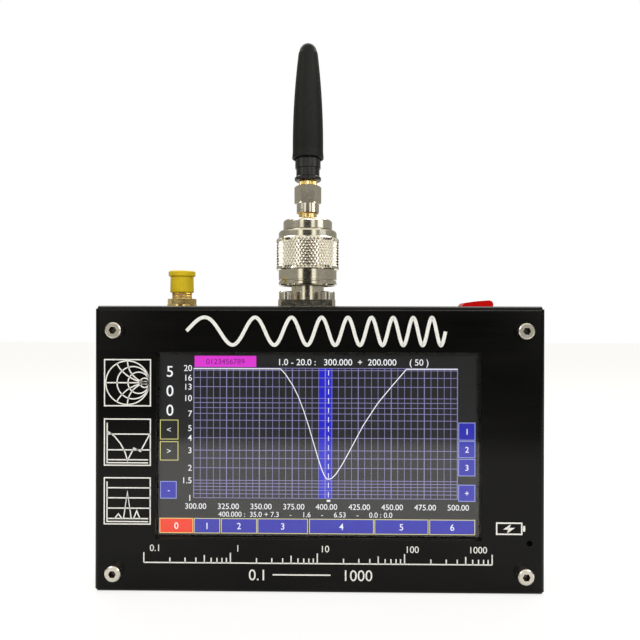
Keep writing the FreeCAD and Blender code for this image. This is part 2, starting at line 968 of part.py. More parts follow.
def make_board_parts():
    side = s.processor_side
    chip = on_board("chip_1", processor_x, s.processor_z, side, s.processor_wall, side)
    node(chip, "processor_chip")
    memory = on_board(
        "chip_2", memory_x, s.memory_z, s.memory_width, s.memory_wall, s.memory_height
    )
    node(memory, "memory_chip")
    can_z = top - s.can_drop
    can = on_board("can_outer", s.can_x, can_z, s.can_width, s.can_depth, s.can_height)
    space_corner = (
        s.can_x - s.can_width / 2 + s.can_wall,
        board_back,
        can_z - s.can_height / 2 + s.can_wall,
    )
    space = block(
        "can_space",
        space_corner,
        s.can_width - 2 * s.can_wall,
        s.can_depth - s.can_wall,
        s.can_height - 2 * s.can_wall,
    )
    node(cut("screening_can", can, space), "rf_shield")
    plug = on_board("plug_body", plug_x, s.plug_z, s.plug_width, s.plug_depth, s.plug_height)
    node(plug, "battery_connector")


# Battery


battery_back = cover_front - s.battery_pad
battery_front = battery_back - s.battery_depth
battery_low = s.battery_rise


def make_battery():
    corner = (s.battery_x - s.battery_width / 2, battery_front, battery_low)
    cell = block("cell_block", corner, s.battery_width, s.battery_depth, s.battery_height)
    node(rounded("cell", cell, s.battery_round, FreeCAD.Vector(0, 0, 1)), "battery")
    margin = s.battery_pad_margin
    pad_corner = (corner[0] + margin, battery_back, corner[2] + margin)
    foam = block(
        "cell_foam",
        pad_corner,
        s.battery_width - 2 * margin,
        s.battery_pad,
        s.battery_height - 2 * margin,
    )
    node(foam, "battery_pad")
    leads = []
    lead_y = battery_front + s.battery_depth / 2
    for step in (-0.5, 0.5):
        z = s.plug_z + s.lead_pitch * step
        points = [
            FreeCAD.Vector(s.battery_x + s.battery_width / 2, lead_y, z),
            FreeCAD.Vector(plug_x, lead_y, z),
            FreeCAD.Vector(plug_x, board_back + s.plug_depth, z),
        ]
        wire = wire_along(points, s.lead_bend, s.lead_wire)
        leads.append(shaped(f"battery_lead_{len(leads) + 1}", wire))
    node(group("battery_lead_pair", leads), "battery_leads")


# Charger


def make_charger():
    left = inner_half - s.charger_side_gap - s.charger_width
    board_y = board_front - s.board_wall
    corner = (left, board_y, s.charger_rise)
    card = block("charger_card", corner, s.charger_width, s.board_wall, s.charger_height)
    node(card, "charger_board")
    lamp_corner = (lamp_x - s.lamp_length / 2, board_y - s.lamp_wall, lamp_z - s.lamp_width / 2)
    lamp = block("lamp_block", lamp_corner, s.lamp_length, s.lamp_wall, s.lamp_width)
    node(lamp, "charge_lamp")
    mouth = case_side - s.usb_inset
    shell_corner = (mouth - s.usb_length, board_y - s.usb_height, s.usb_z - s.usb_width / 2)
    shell = block("usb_outer", shell_corner, s.usb_length, s.usb_height, s.usb_width)
    shell = rounded("usb_round", shell, s.usb_height / 2 - s.usb_wall, FreeCAD.Vector(1, 0, 0))
    wall = s.usb_wall
    space_corner = (shell_corner[0] + wall, shell_corner[1] + wall, shell_corner[2] + wall)
    space = block(
        "usb_space",
        space_corner,
        s.usb_length,
        s.usb_height - 2 * wall,
        s.usb_width - 2 * wall,
    )
    space = rounded("usb_hollow", space, s.usb_height / 2 - 2 * wall, FreeCAD.Vector(1, 0, 0))
    node(cut("usb_shell", shell, space), "usb_socket")
    tongue_corner = (
        space_corner[0],
        board_y - s.usb_height / 2 - s.usb_tongue / 2,
        s.usb_z - s.usb_tongue_width / 2,
    )
    tongue = block(
        "usb_blade",
        tongue_corner,
        s.usb_length - wall - s.usb_tongue_inset,
        s.usb_tongue,
        s.usb_tongue_width,
    )
    node(tongue, "usb_tongue")


# Small threaded jack and its cap


def hexagon_body(name, flats, low, high, bore):
    """A hexagonal bar with a round hole."""
    body = new_body(name)
    sketch = new_sketch(body, "XY_Plane", low)
    add_hexagon(sketch, flats)
    add_circle(sketch, 0.0, 0.0, bore)
    pad(body, sketch, high - low)
    return body


def coned_ends(name, flats, low, high, bore, edge):
    """The turned blank that takes the corners off both ends of a hexagon."""
    wide = flats / math.sqrt(3)
    rise = edge / math.sqrt(3)
    return turned(
        name,
        (bore / 2, low),
        [
            (wide - edge, low),
            (wide, low + rise),
            (wide, high - rise),
            (wide - edge, high),
            (bore / 2, high),
        ],
    )


def nut(name, flats, low, high, bore, edge):
    """A hexagonal nut with chamfered corners, on its own axis."""
    bar = hexagon_body(name + "_bar", flats, low, high, bore)
    blank = coned_ends(name + "_blank", flats, low, high, bore, edge)
    item = doc.addObject("Part::MultiCommon", name)
    item.Shapes = [bar, blank]
    return item


def contact_with_socket(name, low, high, width, socket, depth, **where):
    """A round contact whose upper end is bored for a pin."""
    return turned(
        name,
        (0.0, low),
        [
            (width / 2, low),
            (width / 2, high),
            (socket / 2, high),
            (socket / 2, high - depth),
            (0.0, high - depth),
        ],
        **where,
    )


def make_small_jack():
    at = {"x": small_x, "y": axis_y, "z": top}
    hex_low = -s.sheet_wall - s.small_hex_height
    body = turned(
        "small_jack_turned",
        (s.small_bore / 2, -s.small_tail_depth),
        [
            (s.small_tail / 2, -s.small_tail_depth),
            (s.small_tail / 2, -s.sheet_wall),
            (s.small_thread / 2, -s.sheet_wall),
            (s.small_thread / 2, s.small_height - s.edge_break),
            (s.small_thread / 2 - s.edge_break, s.small_height),
            (s.small_bore / 2, s.small_height),
        ],
        **at,
    )
    collar = nut(
        "small_jack_collar",
        s.small_flats,
        hex_low,
        -s.sheet_wall,
        s.small_tail - 2 * s.edge_break,
        s.edge_break,
    )
    place(collar, **at)
    node(fuse("small_jack", body, collar), "sma_jack_body")
    core = s.small_bore - 2 * s.core_gap
    hole = s.small_contact + 2 * s.core_gap
    core_top = s.small_height - s.face_gap
    filling = tube("small_jack_core", hole, core, -s.small_tail_depth, core_top, **at)
    node(filling, "sma_jack_insulator")
    contact = contact_with_socket(
        "small_jack_centre",
        -s.contact_depth,
        core_top,
        s.small_contact,
        s.small_socket,
        s.small_socket_depth,
        **at,
    )
    node(contact, "sma_jack_contact")
    bore = s.small_thread + 2 * s.hole_gap
    ring = tube("small_washer_ring", bore, s.washer_width, 0.0, s.washer_wall, **at)
    slot_corner = (small_x, axis_y - s.washer_split / 2, top)
    slot = block("small_washer_slot", slot_corner, s.washer_width, s.washer_split, s.washer_wall)
    node(cut("small_washer", ring, slot), "sma_lock_washer")
    tap = s.small_thread + 2 * s.thread_gap
    nut_top = s.washer_wall + s.panel_nut_height
    clamp = nut("small_panel_nut", s.small_flats, s.washer_wall, nut_top, tap, s.edge_break)
    node(place(clamp, **at), "sma_panel_nut")


def make_dust_cap():
    bore = s.small_thread / 2 + s.slide_gap
    inner_top = s.cap_top - s.cap_wall
    rim_low = s.cap_top - s.cap_rim_height
    body = turned(
        "yellow_cap",
        (bore, s.cap_low),
        [
            (s.cap_width / 2 - s.cap_taper, s.cap_low),
            (s.cap_width / 2, s.cap_low + s.edge_break),
            (s.cap_width / 2 - s.cap_taper, rim_low - s.edge_break),
            (s.cap_rim / 2 - s.cap_taper, rim_low),
            (s.cap_rim / 2, rim_low + s.edge_break),
            (s.cap_rim / 2, s.cap_top - s.edge_break),
            (s.cap_rim / 2 - s.edge_break, s.cap_top),
            (0.0, s.cap_top),
            (0.0, inner_top),
            (bore, inner_top),
        ],
        x=small_x,
        y=axis_y,
        z=top,
    )
    node(body, "dust_cap")


# Flanged jack


large_at = {"x": s.large_x, "y": axis_y, "z": top}


def make_large_jack():
    edge = s.edge_break
    body = turned(
        "flanged_jack",
        (s.large_core / 2, -s.large_boss_depth),
        [
            (s.large_boss / 2, -s.large_boss_depth),
            (s.large_boss / 2, s.flange_wall),
            (s.large_neck / 2, s.flange_wall),
            (s.large_neck / 2, s.large_neck_top),
            (s.large_thread / 2 - edge, s.large_neck_top),
            (s.large_thread / 2, s.large_neck_top + edge),
            (s.large_thread / 2, s.large_height - edge),
            (s.large_thread / 2 - edge, s.large_height),
            (s.large_bore / 2, s.large_height),
            (s.large_bore / 2, s.large_floor),
            (s.large_core / 2, s.large_floor),
        ],
        **large_at,
    )
    sketch = new_sketch(body, "XY_Plane")
    half = s.flange_side / 2
    near = half - s.flange_corner
    add_outline(
        sketch,
        (-near, -half),
        [
            (near, -half),
            (half, -near),
            (half, near),
            (near, half),
            (-near, half),
            (-half, near),
            (-half, -near),
        ],
    )
    add_circle(sketch, 0.0, 0.0, s.large_boss - 2 * s.edge_break)
    for x, y in flange_corners():
        add_circle(sketch, x, y, s.flange_shank + 2 * s.hole_gap)
    pad(body, sketch, s.flange_wall)
    node(body, "n_jack_body")
    filling = tube(
        "flanged_jack_core",
        s.large_contact + 2 * s.core_gap,
        s.large_core - 2 * s.core_gap,
        -s.large_core_depth,
        s.large_floor,
        **large_at,
    )
    node(filling, "n_jack_insulator")
    contact = contact_with_socket(
        "flanged_jack_centre",
        -s.contact_depth,
        s.large_contact_top,
        s.large_contact,
        s.large_socket,
        s.large_socket_depth,
        **large_at,
    )
    node(contact, "n_jack_contact")
    screws = []
    nuts = []
    tap = s.flange_shank + 2 * s.thread_gap
    for number, (x, y) in enumerate(flange_corners(), 1):
        screws.append(
            cap_screw(
                f"flange_screw_{number}",
                s.flange_shank,
                s.flange_screw_length,
                s.flange_head,
                s.flange_head_height,
                s.flange_key,
                s.flange_key_depth,
                x=s.large_x + x,
                y=axis_y + y,
                z=top + s.flange_wall,
            )
        )
        clamp = nut(
            f"flange_nut_{number}",
            s.flange_nut_flats,
            -s.flange_nut_height,
            0.0,
            tap,
            s.edge_break,
        )
        nuts.append(place(clamp, s.large_x + x, axis_y + y, under_top))
    node(group("flange_screw_set", screws), "n_jack_screws")
    node(group("flange_nut_set", nuts), "n_jack_nuts")


def make_signal_leads():
    """Bare wires from the two jack contacts to the back of the board."""
    leads = []
    tail = top - s.contact_depth
    for x in (small_x, s.large_x):
        low = tail - s.signal_drop
        points = [
            FreeCAD.Vector(x, axis_y, tail),
            FreeCAD.Vector(x, axis_y, low),
            FreeCAD.Vector(x, board_back, low),
        ]
        wire = wire_along(points, s.signal_bend, s.signal_wire)
        leads.append(shaped(f"signal_lead_{len(leads) + 1}", wire))
    node(group("signal_lead_pair", leads), "rf_leads")


# Adapter


def make_adapter():
    edge = s.edge_break
    neck = s.adapter_neck / 2
    groove_low = s.ring_low - s.ring_gap
    groove_top = s.ring_low + s.ring_wall + s.ring_gap
    groove = neck - s.ring_depth
    seat = s.small_thread + 2 * s.core_gap
    seat_low = s.adapter_head_top - s.barrel_seat
    round_edge = s.adapter_head_round
    corner = round_edge * (1 - math.sqrt(0.5))
    head = s.adapter_head / 2
    seal_top = s.seal_low + s.seal_wall
    body = turned(
        "adapter_core",
        (s.adapter_sleeve_bore / 2, s.adapter_sleeve_low),
        [
            (s.adapter_sleeve / 2 - edge, s.adapter_sleeve_low),
            (s.adapter_sleeve / 2, s.adapter_sleeve_low + edge),
            (s.adapter_sleeve / 2, seal_top),
            (neck, seal_top),
            (neck, groove_low),
            (groove, groove_low),
            (groove, groove_top),
            (neck, groove_top),
            (neck, s.adapter_head_low),
            (head, s.adapter_head_low),
            (head, s.adapter_head_top - round_edge),
            (head - corner, s.adapter_head_top - corner) + (head - round_edge, s.adapter_head_top),
            (seat / 2, s.adapter_head_top),
            (seat / 2, seat_low),
            (s.adapter_core_neck / 2, seat_low),
            (s.adapter_core_neck / 2, s.adapter_core_step),
            (s.adapter_sleeve_bore / 2, s.adapter_core_step),
        ],
        **large_at,
    )
    node(body, "adapter_body")
    seal_bore = s.adapter_sleeve + 2 * s.neck_gap
    seal = tube("adapter_seal", seal_bore, s.adapter_neck, s.seal_low, seal_top, **large_at)
    node(seal, "adapter_gasket")
    ring_top = s.ring_low + s.ring_wall
    ring_bore = 2 * (groove + s.core_gap)
    ring = tube("adapter_ring", ring_bore, s.ring_width, s.ring_low, ring_top, **large_at)
    slot_corner = (s.large_x, axis_y - s.ring_split / 2, top + s.ring_low)
    slot = block("adapter_ring_slot", slot_corner, s.ring_width, s.ring_split, s.ring_wall)
    node(cut("adapter_split_ring", ring, slot), "adapter_snap_ring")
    barrel = turned(
        "gold_barrel",
        (s.small_bore / 2, seat_low),
        [
            (s.small_thread / 2, seat_low),
            (s.small_thread / 2, s.adapter_head_top),
            (s.barrel_rim / 2, s.adapter_head_top),
            (s.barrel_rim / 2, s.adapter_head_top + s.barrel_rim_height),
            (s.barrel_neck / 2, s.adapter_head_top + s.barrel_rim_height),
            (s.barrel_neck / 2, barrel_neck_top),
            (s.small_thread / 2, barrel_neck_top + edge),
            (s.small_thread / 2, s.barrel_top - edge),
            (s.small_thread / 2 - edge, s.barrel_top),
            (s.small_bore / 2, s.barrel_top),
        ],
        **large_at,
    )
    node(barrel, "adapter_sma_barrel")
    gap = s.core_gap
    stem_top = seat_low - s.face_gap
    stem = s.large_contact / 2
    rod_half = s.small_contact / 2
    core_top = s.barrel_top - s.face_gap
    filling = turned(
        "adapter_filling",
        (stem + gap, s.adapter_core_low),
        [
            (s.adapter_sleeve_bore / 2 - gap, s.adapter_core_low),
            (s.adapter_sleeve_bore / 2 - gap, s.adapter_core_step - gap),
            (s.adapter_core_neck / 2 - gap, s.adapter_core_step - gap),
            (s.adapter_core_neck / 2 - gap, seat_low - gap),
            (s.small_bore / 2 - gap, seat_low - gap),
            (s.small_bore / 2 - gap, core_top),
            (rod_half + gap, core_top),
            (rod_half + gap, stem_top + gap),
            (stem + gap, stem_top + gap),
        ],
        **large_at,
    )
    node(filling, "adapter_insulator")
    socket_floor = core_top - s.small_socket_depth
    contact = turned(
        "adapter_centre",
        (0.0, s.adapter_pin_low),
        [
            (s.adapter_pin / 2, s.adapter_pin_low),
            (s.adapter_pin / 2, s.large_contact_top + s.face_gap),
            (stem, s.large_contact_top + s.face_gap),
            (stem, stem_top),
            (rod_half, stem_top),
            (rod_half, core_top),
            (s.small_socket / 2, core_top),
            (s.small_socket / 2, socket_floor),
            (0.0, socket_floor),
        ],
        **large_at,
    )
    node(contact, "adapter_contact")


def make_coupling_nut():
    """The turned nut; its grip band stands for the diamond knurl at full size."""
    edge = s.nut_edge
    bore = s.large_thread / 2 + s.turn_gap
    lip_bore = s.adapter_neck / 2 + s.neck_gap
    lip_low = s.nut_top - s.nut_lip
    groove = s.ring_width / 2 + s.face_gap
    groove_low = s.ring_low - s.face_gap
    groove_top = s.ring_low + s.ring_wall + s.face_gap
    body = turned(
        "knurled_nut",
        (bore, s.nut_low),
        [
            (s.nut_ring / 2 - edge / 2, s.nut_low),
            (s.nut_ring / 2, s.nut_low + edge / 2),
            (s.nut_ring / 2, s.grip_low),
            (s.nut_grip / 2 - edge / 2, s.grip_low),
            (s.nut_grip / 2, s.grip_low + edge / 2),
            (s.nut_grip / 2, s.grip_top - edge / 2),
            (s.nut_grip / 2 - edge / 2, s.grip_top),
            (s.nut_ring / 2, s.grip_top),
            (s.nut_ring / 2, s.nut_top - edge),
            (s.nut_ring / 2 - edge, s.nut_top),
            (lip_bore, s.nut_top),
            (lip_bore, groove_top),
            (groove, groove_top),
            (groove, groove_low),
            (lip_bore, groove_low),
            (lip_bore, lip_low),
            (bore, lip_low),
        ],
        **large_at,
    )
    node(body, "adapter_coupling_nut")


barrel_neck_top = s.adapter_head_top + s.barrel_rim_height + s.barrel_neck_height


# Antenna


ring_middle = s.spin_top - s.spin_lip / 2
spin_ring_low = ring_middle - s.spin_ring_wall / 2
spin_ring_top = ring_middle + s.spin_ring_wall / 2
spin_lip_low = s.spin_top - s.spin_lip
ferrule_low = s.barrel_top + s.spin_gap


def make_antenna_nut():
    """The hexagonal nut with a round skirt that screws on the gold barrel."""
    hexagon = nut(
        "antenna_nut_hexagon",
        s.spin_flats,
        s.spin_skirt_top,
        s.spin_top,
        s.ferrule_neck + 2 * s.spin_gap,
        s.spin_edge,
    )
    place(hexagon, **large_at)
    bore = s.small_thread / 2 + s.spin_gap
    skirt = tube(
        "antenna_nut_skirt",
        2 * bore,
        s.spin_skirt,
        s.spin_low,
        s.spin_skirt_top + s.spin_edge,
        **large_at,
    )
    groove = s.ferrule_neck / 2 + s.spin_ring_depth * 2 + s.spin_gap
    hollow = turned(
        "antenna_nut_hollow",
        (0.0, s.spin_low),
        [
            (bore, s.spin_low),
            (bore, spin_lip_low),
            (0.0, spin_lip_low),
        ],
        **large_at,
    )
    recess = turned(
        "antenna_nut_recess",
        (0.0, spin_ring_low - s.spin_ring_gap),
        [
            (groove, spin_ring_low - s.spin_ring_gap),
            (groove, spin_ring_top + s.spin_ring_gap),
            (0.0, spin_ring_top + s.spin_ring_gap),
        ],
        **large_at,
    )
    joined = fuse("antenna_nut_solid", hexagon, skirt)
    node(cut("antenna_nut_bored", joined, hollow, recess), "antenna_nut")


def make_ferrule():
    neck = s.ferrule_neck / 2
    groove = neck - s.spin_ring_depth
    gap = s.spin_ring_gap / 2
    head_low = s.spin_top + s.ferrule_rise
    body = turned(
        "gold_ferrule",
        (s.ferrule_bore / 2, ferrule_low),
        [
            (neck, ferrule_low),
            (neck, spin_ring_low - gap),
            (groove, spin_ring_low - gap),
            (groove, spin_ring_top + gap),
            (neck, spin_ring_top + gap),
            (neck, head_low),
            (s.ferrule_head / 2, head_low),
            (s.ferrule_head / 2, s.ferrule_top),
            (s.ferrule_bore / 2, s.ferrule_top),
        ],
        **large_at,
    )
    node(body, "antenna_ferrule")
    ring = tube(
        "antenna_ring",
        2 * (groove + s.core_gap),
        s.ferrule_neck + 4 * s.spin_ring_depth,
        spin_ring_low,
        spin_ring_top,
        **large_at,
    )
    slot_corner = (s.large_x, axis_y - s.washer_split / 2, top + spin_ring_low)
    slot = block(
        "antenna_ring_slot", slot_corner, s.ferrule_neck, s.washer_split, s.spin_ring_wall
    )
    node(cut("antenna_split_ring", ring, slot), "antenna_snap_ring")
    filling = tube(
        "antenna_filling",
        s.antenna_pin + 2 * s.core_gap,
        s.ferrule_bore - 2 * s.core_gap,
        ferrule_low,
        s.ferrule_top,
        **large_at,
    )
    node(filling, "antenna_insulator")
    foot = (s.large_x, axis_y, top + s.antenna_pin_low)
    pin_top = s.ferrule_top + s.base_pin_depth - s.face_gap
    pin = rod("antenna_needle", foot, s.antenna_pin, pin_top - s.antenna_pin_low)
    node(pin, "antenna_pin")


def make_antenna_base():
    hole = s.antenna_pin / 2 + s.core_gap
    pin_top = s.ferrule_top + s.base_pin_depth
    body = turned(
        "black_base",
        (hole, s.ferrule_top),
        [
            (s.base_flange / 2 - s.edge_break, s.ferrule_top),
            (s.base_flange / 2, s.ferrule_top + s.edge_break),
            (s.base_flange / 2, s.base_flange_top - s.edge_break),
            (s.base_flange / 2 - s.edge_break, s.base_flange_top),
            (s.base_barrel / 2, s.base_flange_top),
            (s.base_barrel / 2, s.base_barrel_top),
            (s.base_ring / 2, s.base_barrel_top),
            (s.base_ring / 2, s.base_ring_top),
            (s.base_spigot / 2, s.base_ring_top),
            (s.base_spigot / 2, s.base_spigot_top),
            (0.0, s.base_spigot_top),
            (0.0, pin_top),
            (hole, pin_top),
        ],
        **large_at,
    )
    node(body, "antenna_base")
    foot = (s.large_x, axis_y, top + s.base_spigot_top)
    core = rod("coil_core", foot, s.former, s.former_top - s.base_spigot_top)
    node(core, "antenna_coil_former")


def make_coil():
    """An open winding on the former, from half turns that each climb half a pitch."""
    radius = s.former / 2 + s.coil_wire / 2 + s.hole_gap
    axis = FreeCAD.Vector(s.large_x, axis_y, top + s.coil_low)
    arcs = []
    for half in range(2 * int(s.coil_turns)):
        points = []
        for part in (0.0, 0.5, 1.0):
            turn = math.pi * (half + part)
            climb = s.coil_pitch * (half + part) / 2
            offset = FreeCAD.Vector(radius * math.cos(turn), radius * math.sin(turn), climb)
            points.append(axis + offset)
        arcs.append(Part.Arc(*points).toShape())
    path = Part.Wire(arcs)
    start = arcs[0].valueAt(arcs[0].FirstParameter)
    along = arcs[0].tangentAt(arcs[0].FirstParameter)
    section = Part.Wire(Part.Circle(start, along, s.coil_wire / 2).toShape())
    node(shaped("coil", path.makePipeShell([section], True, False)), "antenna_coil")


def make_sheath():
    """The tapered rubber sheath with an open lower lip and a round tip."""
    lip = s.sheath_lip / 2
    mouth = s.sheath_mouth / 2
    edge = s.edge_break
    inset = edge * (1 - math.sqrt(0.5))
    tip = s.sheath_tip / 2
    centre = s.sheath_top - tip
    start = s.sheath_tip_start
    halfway = (start + 90) / 2
    body = turned(
        "rubber_sheath",
        (mouth, s.sheath_low + edge),
        [
            (mouth + inset, s.sheath_low + inset, mouth + edge, s.sheath_low),
            (lip - edge, s.sheath_low),
            (lip - inset, s.sheath_low + inset, lip, s.sheath_low + edge),
            (s.sheath_waist / 2, s.sheath_lip_top),
            (s.sheath_middle / 2, s.sheath_middle_z, s.sheath_shoulder / 2, s.sheath_shoulder_z),
            (tip * cosine(start), centre + tip * sine(start)),
            (tip * cosine(halfway), centre + tip * sine(halfway), 0.0, s.sheath_top),
            (0.0, s.sheath_bore_top),
            (s.sheath_bore / 2, s.sheath_bore_top),
            (s.sheath_bore / 2, s.base_ring_top),
            (mouth, s.base_ring_top),
        ],
        **large_at,
    )
    node(body, "antenna_sheath")


# Rocker switch


pivot_z = top + s.rocker_proud - s.rocker_arm * cosine(s.rocker_tilt)
rocker_reach = s.rocker_half * cosine(s.rocker_tilt)
rocker_lean = s.rocker_end_height * sine(s.rocker_tilt)
rocker_sweep = rocker_reach + rocker_lean + s.rocker_gap
terminal_z = top - s.terminal_drop
switch_low = top - s.switch_depth


def terminal_places():
    return [rocker_x + s.terminal_pitch * step for step in (-1, 0, 1)]


def leaned(x, z):
    """A point of the button turned about its pin to the side that is pressed."""
    lean = s.rocker_tilt
    return (x * cosine(lean) - z * sine(lean), x * sine(lean) + z * cosine(lean))


def make_rocker():
    ridge = s.rocker_arm
    facet_x = s.rocker_facet
    facet_z = ridge - s.rocker_facet * sine(s.rocker_fall) / cosine(s.rocker_fall)
    end_x = s.rocker_half
    end_z = s.rocker_end_height
    bulge_x = facet_x + (end_x - facet_x) * math.sqrt(0.5)
    bulge_z = end_z + (facet_z - end_z) * math.sqrt(0.5)
    foot_x = s.rocker_foot_half
    foot_z = -s.rocker_foot
    button = new_body("button")
    sketch = new_sketch(button, "XZ_Plane", -s.rocker_width / 2)
    add_outline(
        sketch,
        leaned(0.0, ridge),
        [
            leaned(facet_x, facet_z),
            leaned(bulge_x, bulge_z) + leaned(end_x, end_z),
            leaned(foot_x, foot_z),
            leaned(-foot_x, foot_z),
            leaned(-end_x, end_z),
            leaned(-bulge_x, bulge_z) + leaned(-facet_x, facet_z),
        ],
    )
    add_circle(sketch, 0.0, 0.0, s.rocker_pin + 2 * s.hole_gap)
    pad(button, sketch, s.rocker_width)
    place(button, rocker_x, axis_y, pivot_z)
    node(button, "rocker_button")
    space = s.rocker_width / 2 + s.rocker_gap
    half_width = axis_y - board_back
    half_length = rocker_sweep + s.switch_wall
    corner = (rocker_x - half_length, axis_y - half_width, switch_low)
    shell = block("switch_block", corner, 2 * half_length, 2 * half_width, under_top - switch_low)
    floor = pivot_z - s.switch_floor_drop
    well_corner = (rocker_x - rocker_sweep, axis_y - space, floor)
    well = block("switch_well", well_corner, 2 * rocker_sweep, 2 * space, under_top - floor)
    pin_length = 2 * (space + s.switch_wall)
    pin_foot = (rocker_x, axis_y - pin_length / 2, pivot_z)
    pin_hole = s.rocker_pin + 2 * s.core_gap
    bearing = rod("switch_bearing", pin_foot, pin_hole, pin_length, FACING_BACK)
    slots = []
    blades = []
    blade_y = board_front - s.terminal_reach
    for x in terminal_places():
        number = len(blades) + 1
        blade_corner = (x - s.terminal_width / 2, blade_y, terminal_z - s.terminal_wall / 2)
        reach = axis_y - blade_y
        blades.append(
            block(f"blade_{number}", blade_corner, s.terminal_width, reach, s.terminal_wall)
        )
        gap = s.core_gap
        slot_corner = (blade_corner[0] - gap, blade_y, blade_corner[2] - gap)
        slots.append(
            block(
                f"blade_slot_{number}",
                slot_corner,
                s.terminal_width + 2 * gap,
                reach,
                s.terminal_wall + 2 * gap,
            )
        )
    node(cut("switch_body", shell, well, bearing, *slots), "rocker_housing")
    pin = rod("hinge_pin", pin_foot, s.rocker_pin, pin_length, FACING_BACK)
    node(pin, "rocker_pin")
    node(group("blades", blades), "rocker_terminals")


def check_and_export():
    doc.recompute()
    for item in doc.Objects:
        if "Invalid" in item.State or "Error" in item.State:
            raise RuntimeError(item.Name + " is in a failed state")
    os.makedirs("parts", exist_ok=True)
    for item in nodes:
        if item.Shape.isNull() or not item.Shape.isValid() or not item.Shape.Solids:
            raise RuntimeError(item.Label + " has no valid solid")
    for item in nodes:
        item.Shape.exportStep(f"parts/{item.Label}.step")
    print(len(nodes), "nodes")


make_front_shell()
make_rear_cover()
make_front_screws()
make_rear_screws()
make_front_standoffs()
make_rear_standoffs()
make_screen()
make_ribbon()
make_main_board()
make_board_parts()
make_battery()
make_charger()
make_small_jack()
make_dust_cap()
make_large_jack()
make_signal_leads()
make_adapter()
make_coupling_nut()
make_antenna_nut()
make_ferrule()
make_antenna_base()
make_coil()
make_sheath()
make_rocker()
check_and_export()
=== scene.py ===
import json
import math

import bmesh
import bpy
from mathutils import Euler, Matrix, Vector


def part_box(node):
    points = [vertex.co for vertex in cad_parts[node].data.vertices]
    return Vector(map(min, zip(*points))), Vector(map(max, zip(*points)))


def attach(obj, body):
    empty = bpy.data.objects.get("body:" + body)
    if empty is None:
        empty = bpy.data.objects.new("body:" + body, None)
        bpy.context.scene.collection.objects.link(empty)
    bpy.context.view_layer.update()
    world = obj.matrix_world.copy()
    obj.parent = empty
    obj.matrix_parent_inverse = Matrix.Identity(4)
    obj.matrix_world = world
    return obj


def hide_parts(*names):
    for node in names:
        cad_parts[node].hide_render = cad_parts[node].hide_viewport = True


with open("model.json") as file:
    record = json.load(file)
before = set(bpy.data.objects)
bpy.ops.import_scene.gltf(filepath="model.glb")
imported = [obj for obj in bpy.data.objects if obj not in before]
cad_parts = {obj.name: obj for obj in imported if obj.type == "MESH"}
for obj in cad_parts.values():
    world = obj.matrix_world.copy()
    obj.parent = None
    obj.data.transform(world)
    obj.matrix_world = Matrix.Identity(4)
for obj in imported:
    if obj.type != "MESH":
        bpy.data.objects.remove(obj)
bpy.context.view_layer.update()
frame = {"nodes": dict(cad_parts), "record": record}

# Sizes are in millimetres and become metres where a mesh is built.

MM = 0.001
scene = bpy.context.scene
nodes = frame["nodes"]


def in_mm(corner):
    return Vector(corner) / MM


def axis_of(node):
    """X and Y of the middle of a node, in millimetres."""
    low, high = (in_mm(corner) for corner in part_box(node))
    return (low.x + high.x) / 2, (low.y + high.y) / 2


CASE_LOW, CASE_HIGH = (in_mm(corner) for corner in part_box("front_shell"))
TOP = CASE_HIGH.z
FRONT = CASE_LOW.y
GLASS_LOW, GLASS_HIGH = (in_mm(corner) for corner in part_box("touch_panel"))
MAIN_AXIS = axis_of("adapter_coupling_nut")


# Camera: level, a little below the case's top, turned slightly to the right.

CAMERA_DISTANCE = 180.5
CAMERA_BELOW_TOP = 4.15
CAMERA_SIDE = 0.3
CAMERA_YAW = math.radians(0.8)
CAMERA_ROLL = math.radians(-0.127)
CAMERA_LENS = 34.24
CAMERA_SENSOR = 36.0


def make_camera():
    data = bpy.data.cameras.new("camera")
    data.lens = CAMERA_LENS
    data.sensor_width = CAMERA_SENSOR
    data.clip_start = 0.01
    camera = bpy.data.objects.new("camera", data)
    scene.collection.objects.link(camera)
    x = CAMERA_SIDE + CAMERA_DISTANCE * math.sin(CAMERA_YAW)
    y = FRONT - CAMERA_DISTANCE * math.cos(CAMERA_YAW)
    camera.location = Vector((x, y, TOP - CAMERA_BELOW_TOP)) * MM
    camera.rotation_euler = Euler((math.pi / 2, CAMERA_ROLL, CAMERA_YAW), "XYZ")
    scene.camera = camera


# Materials


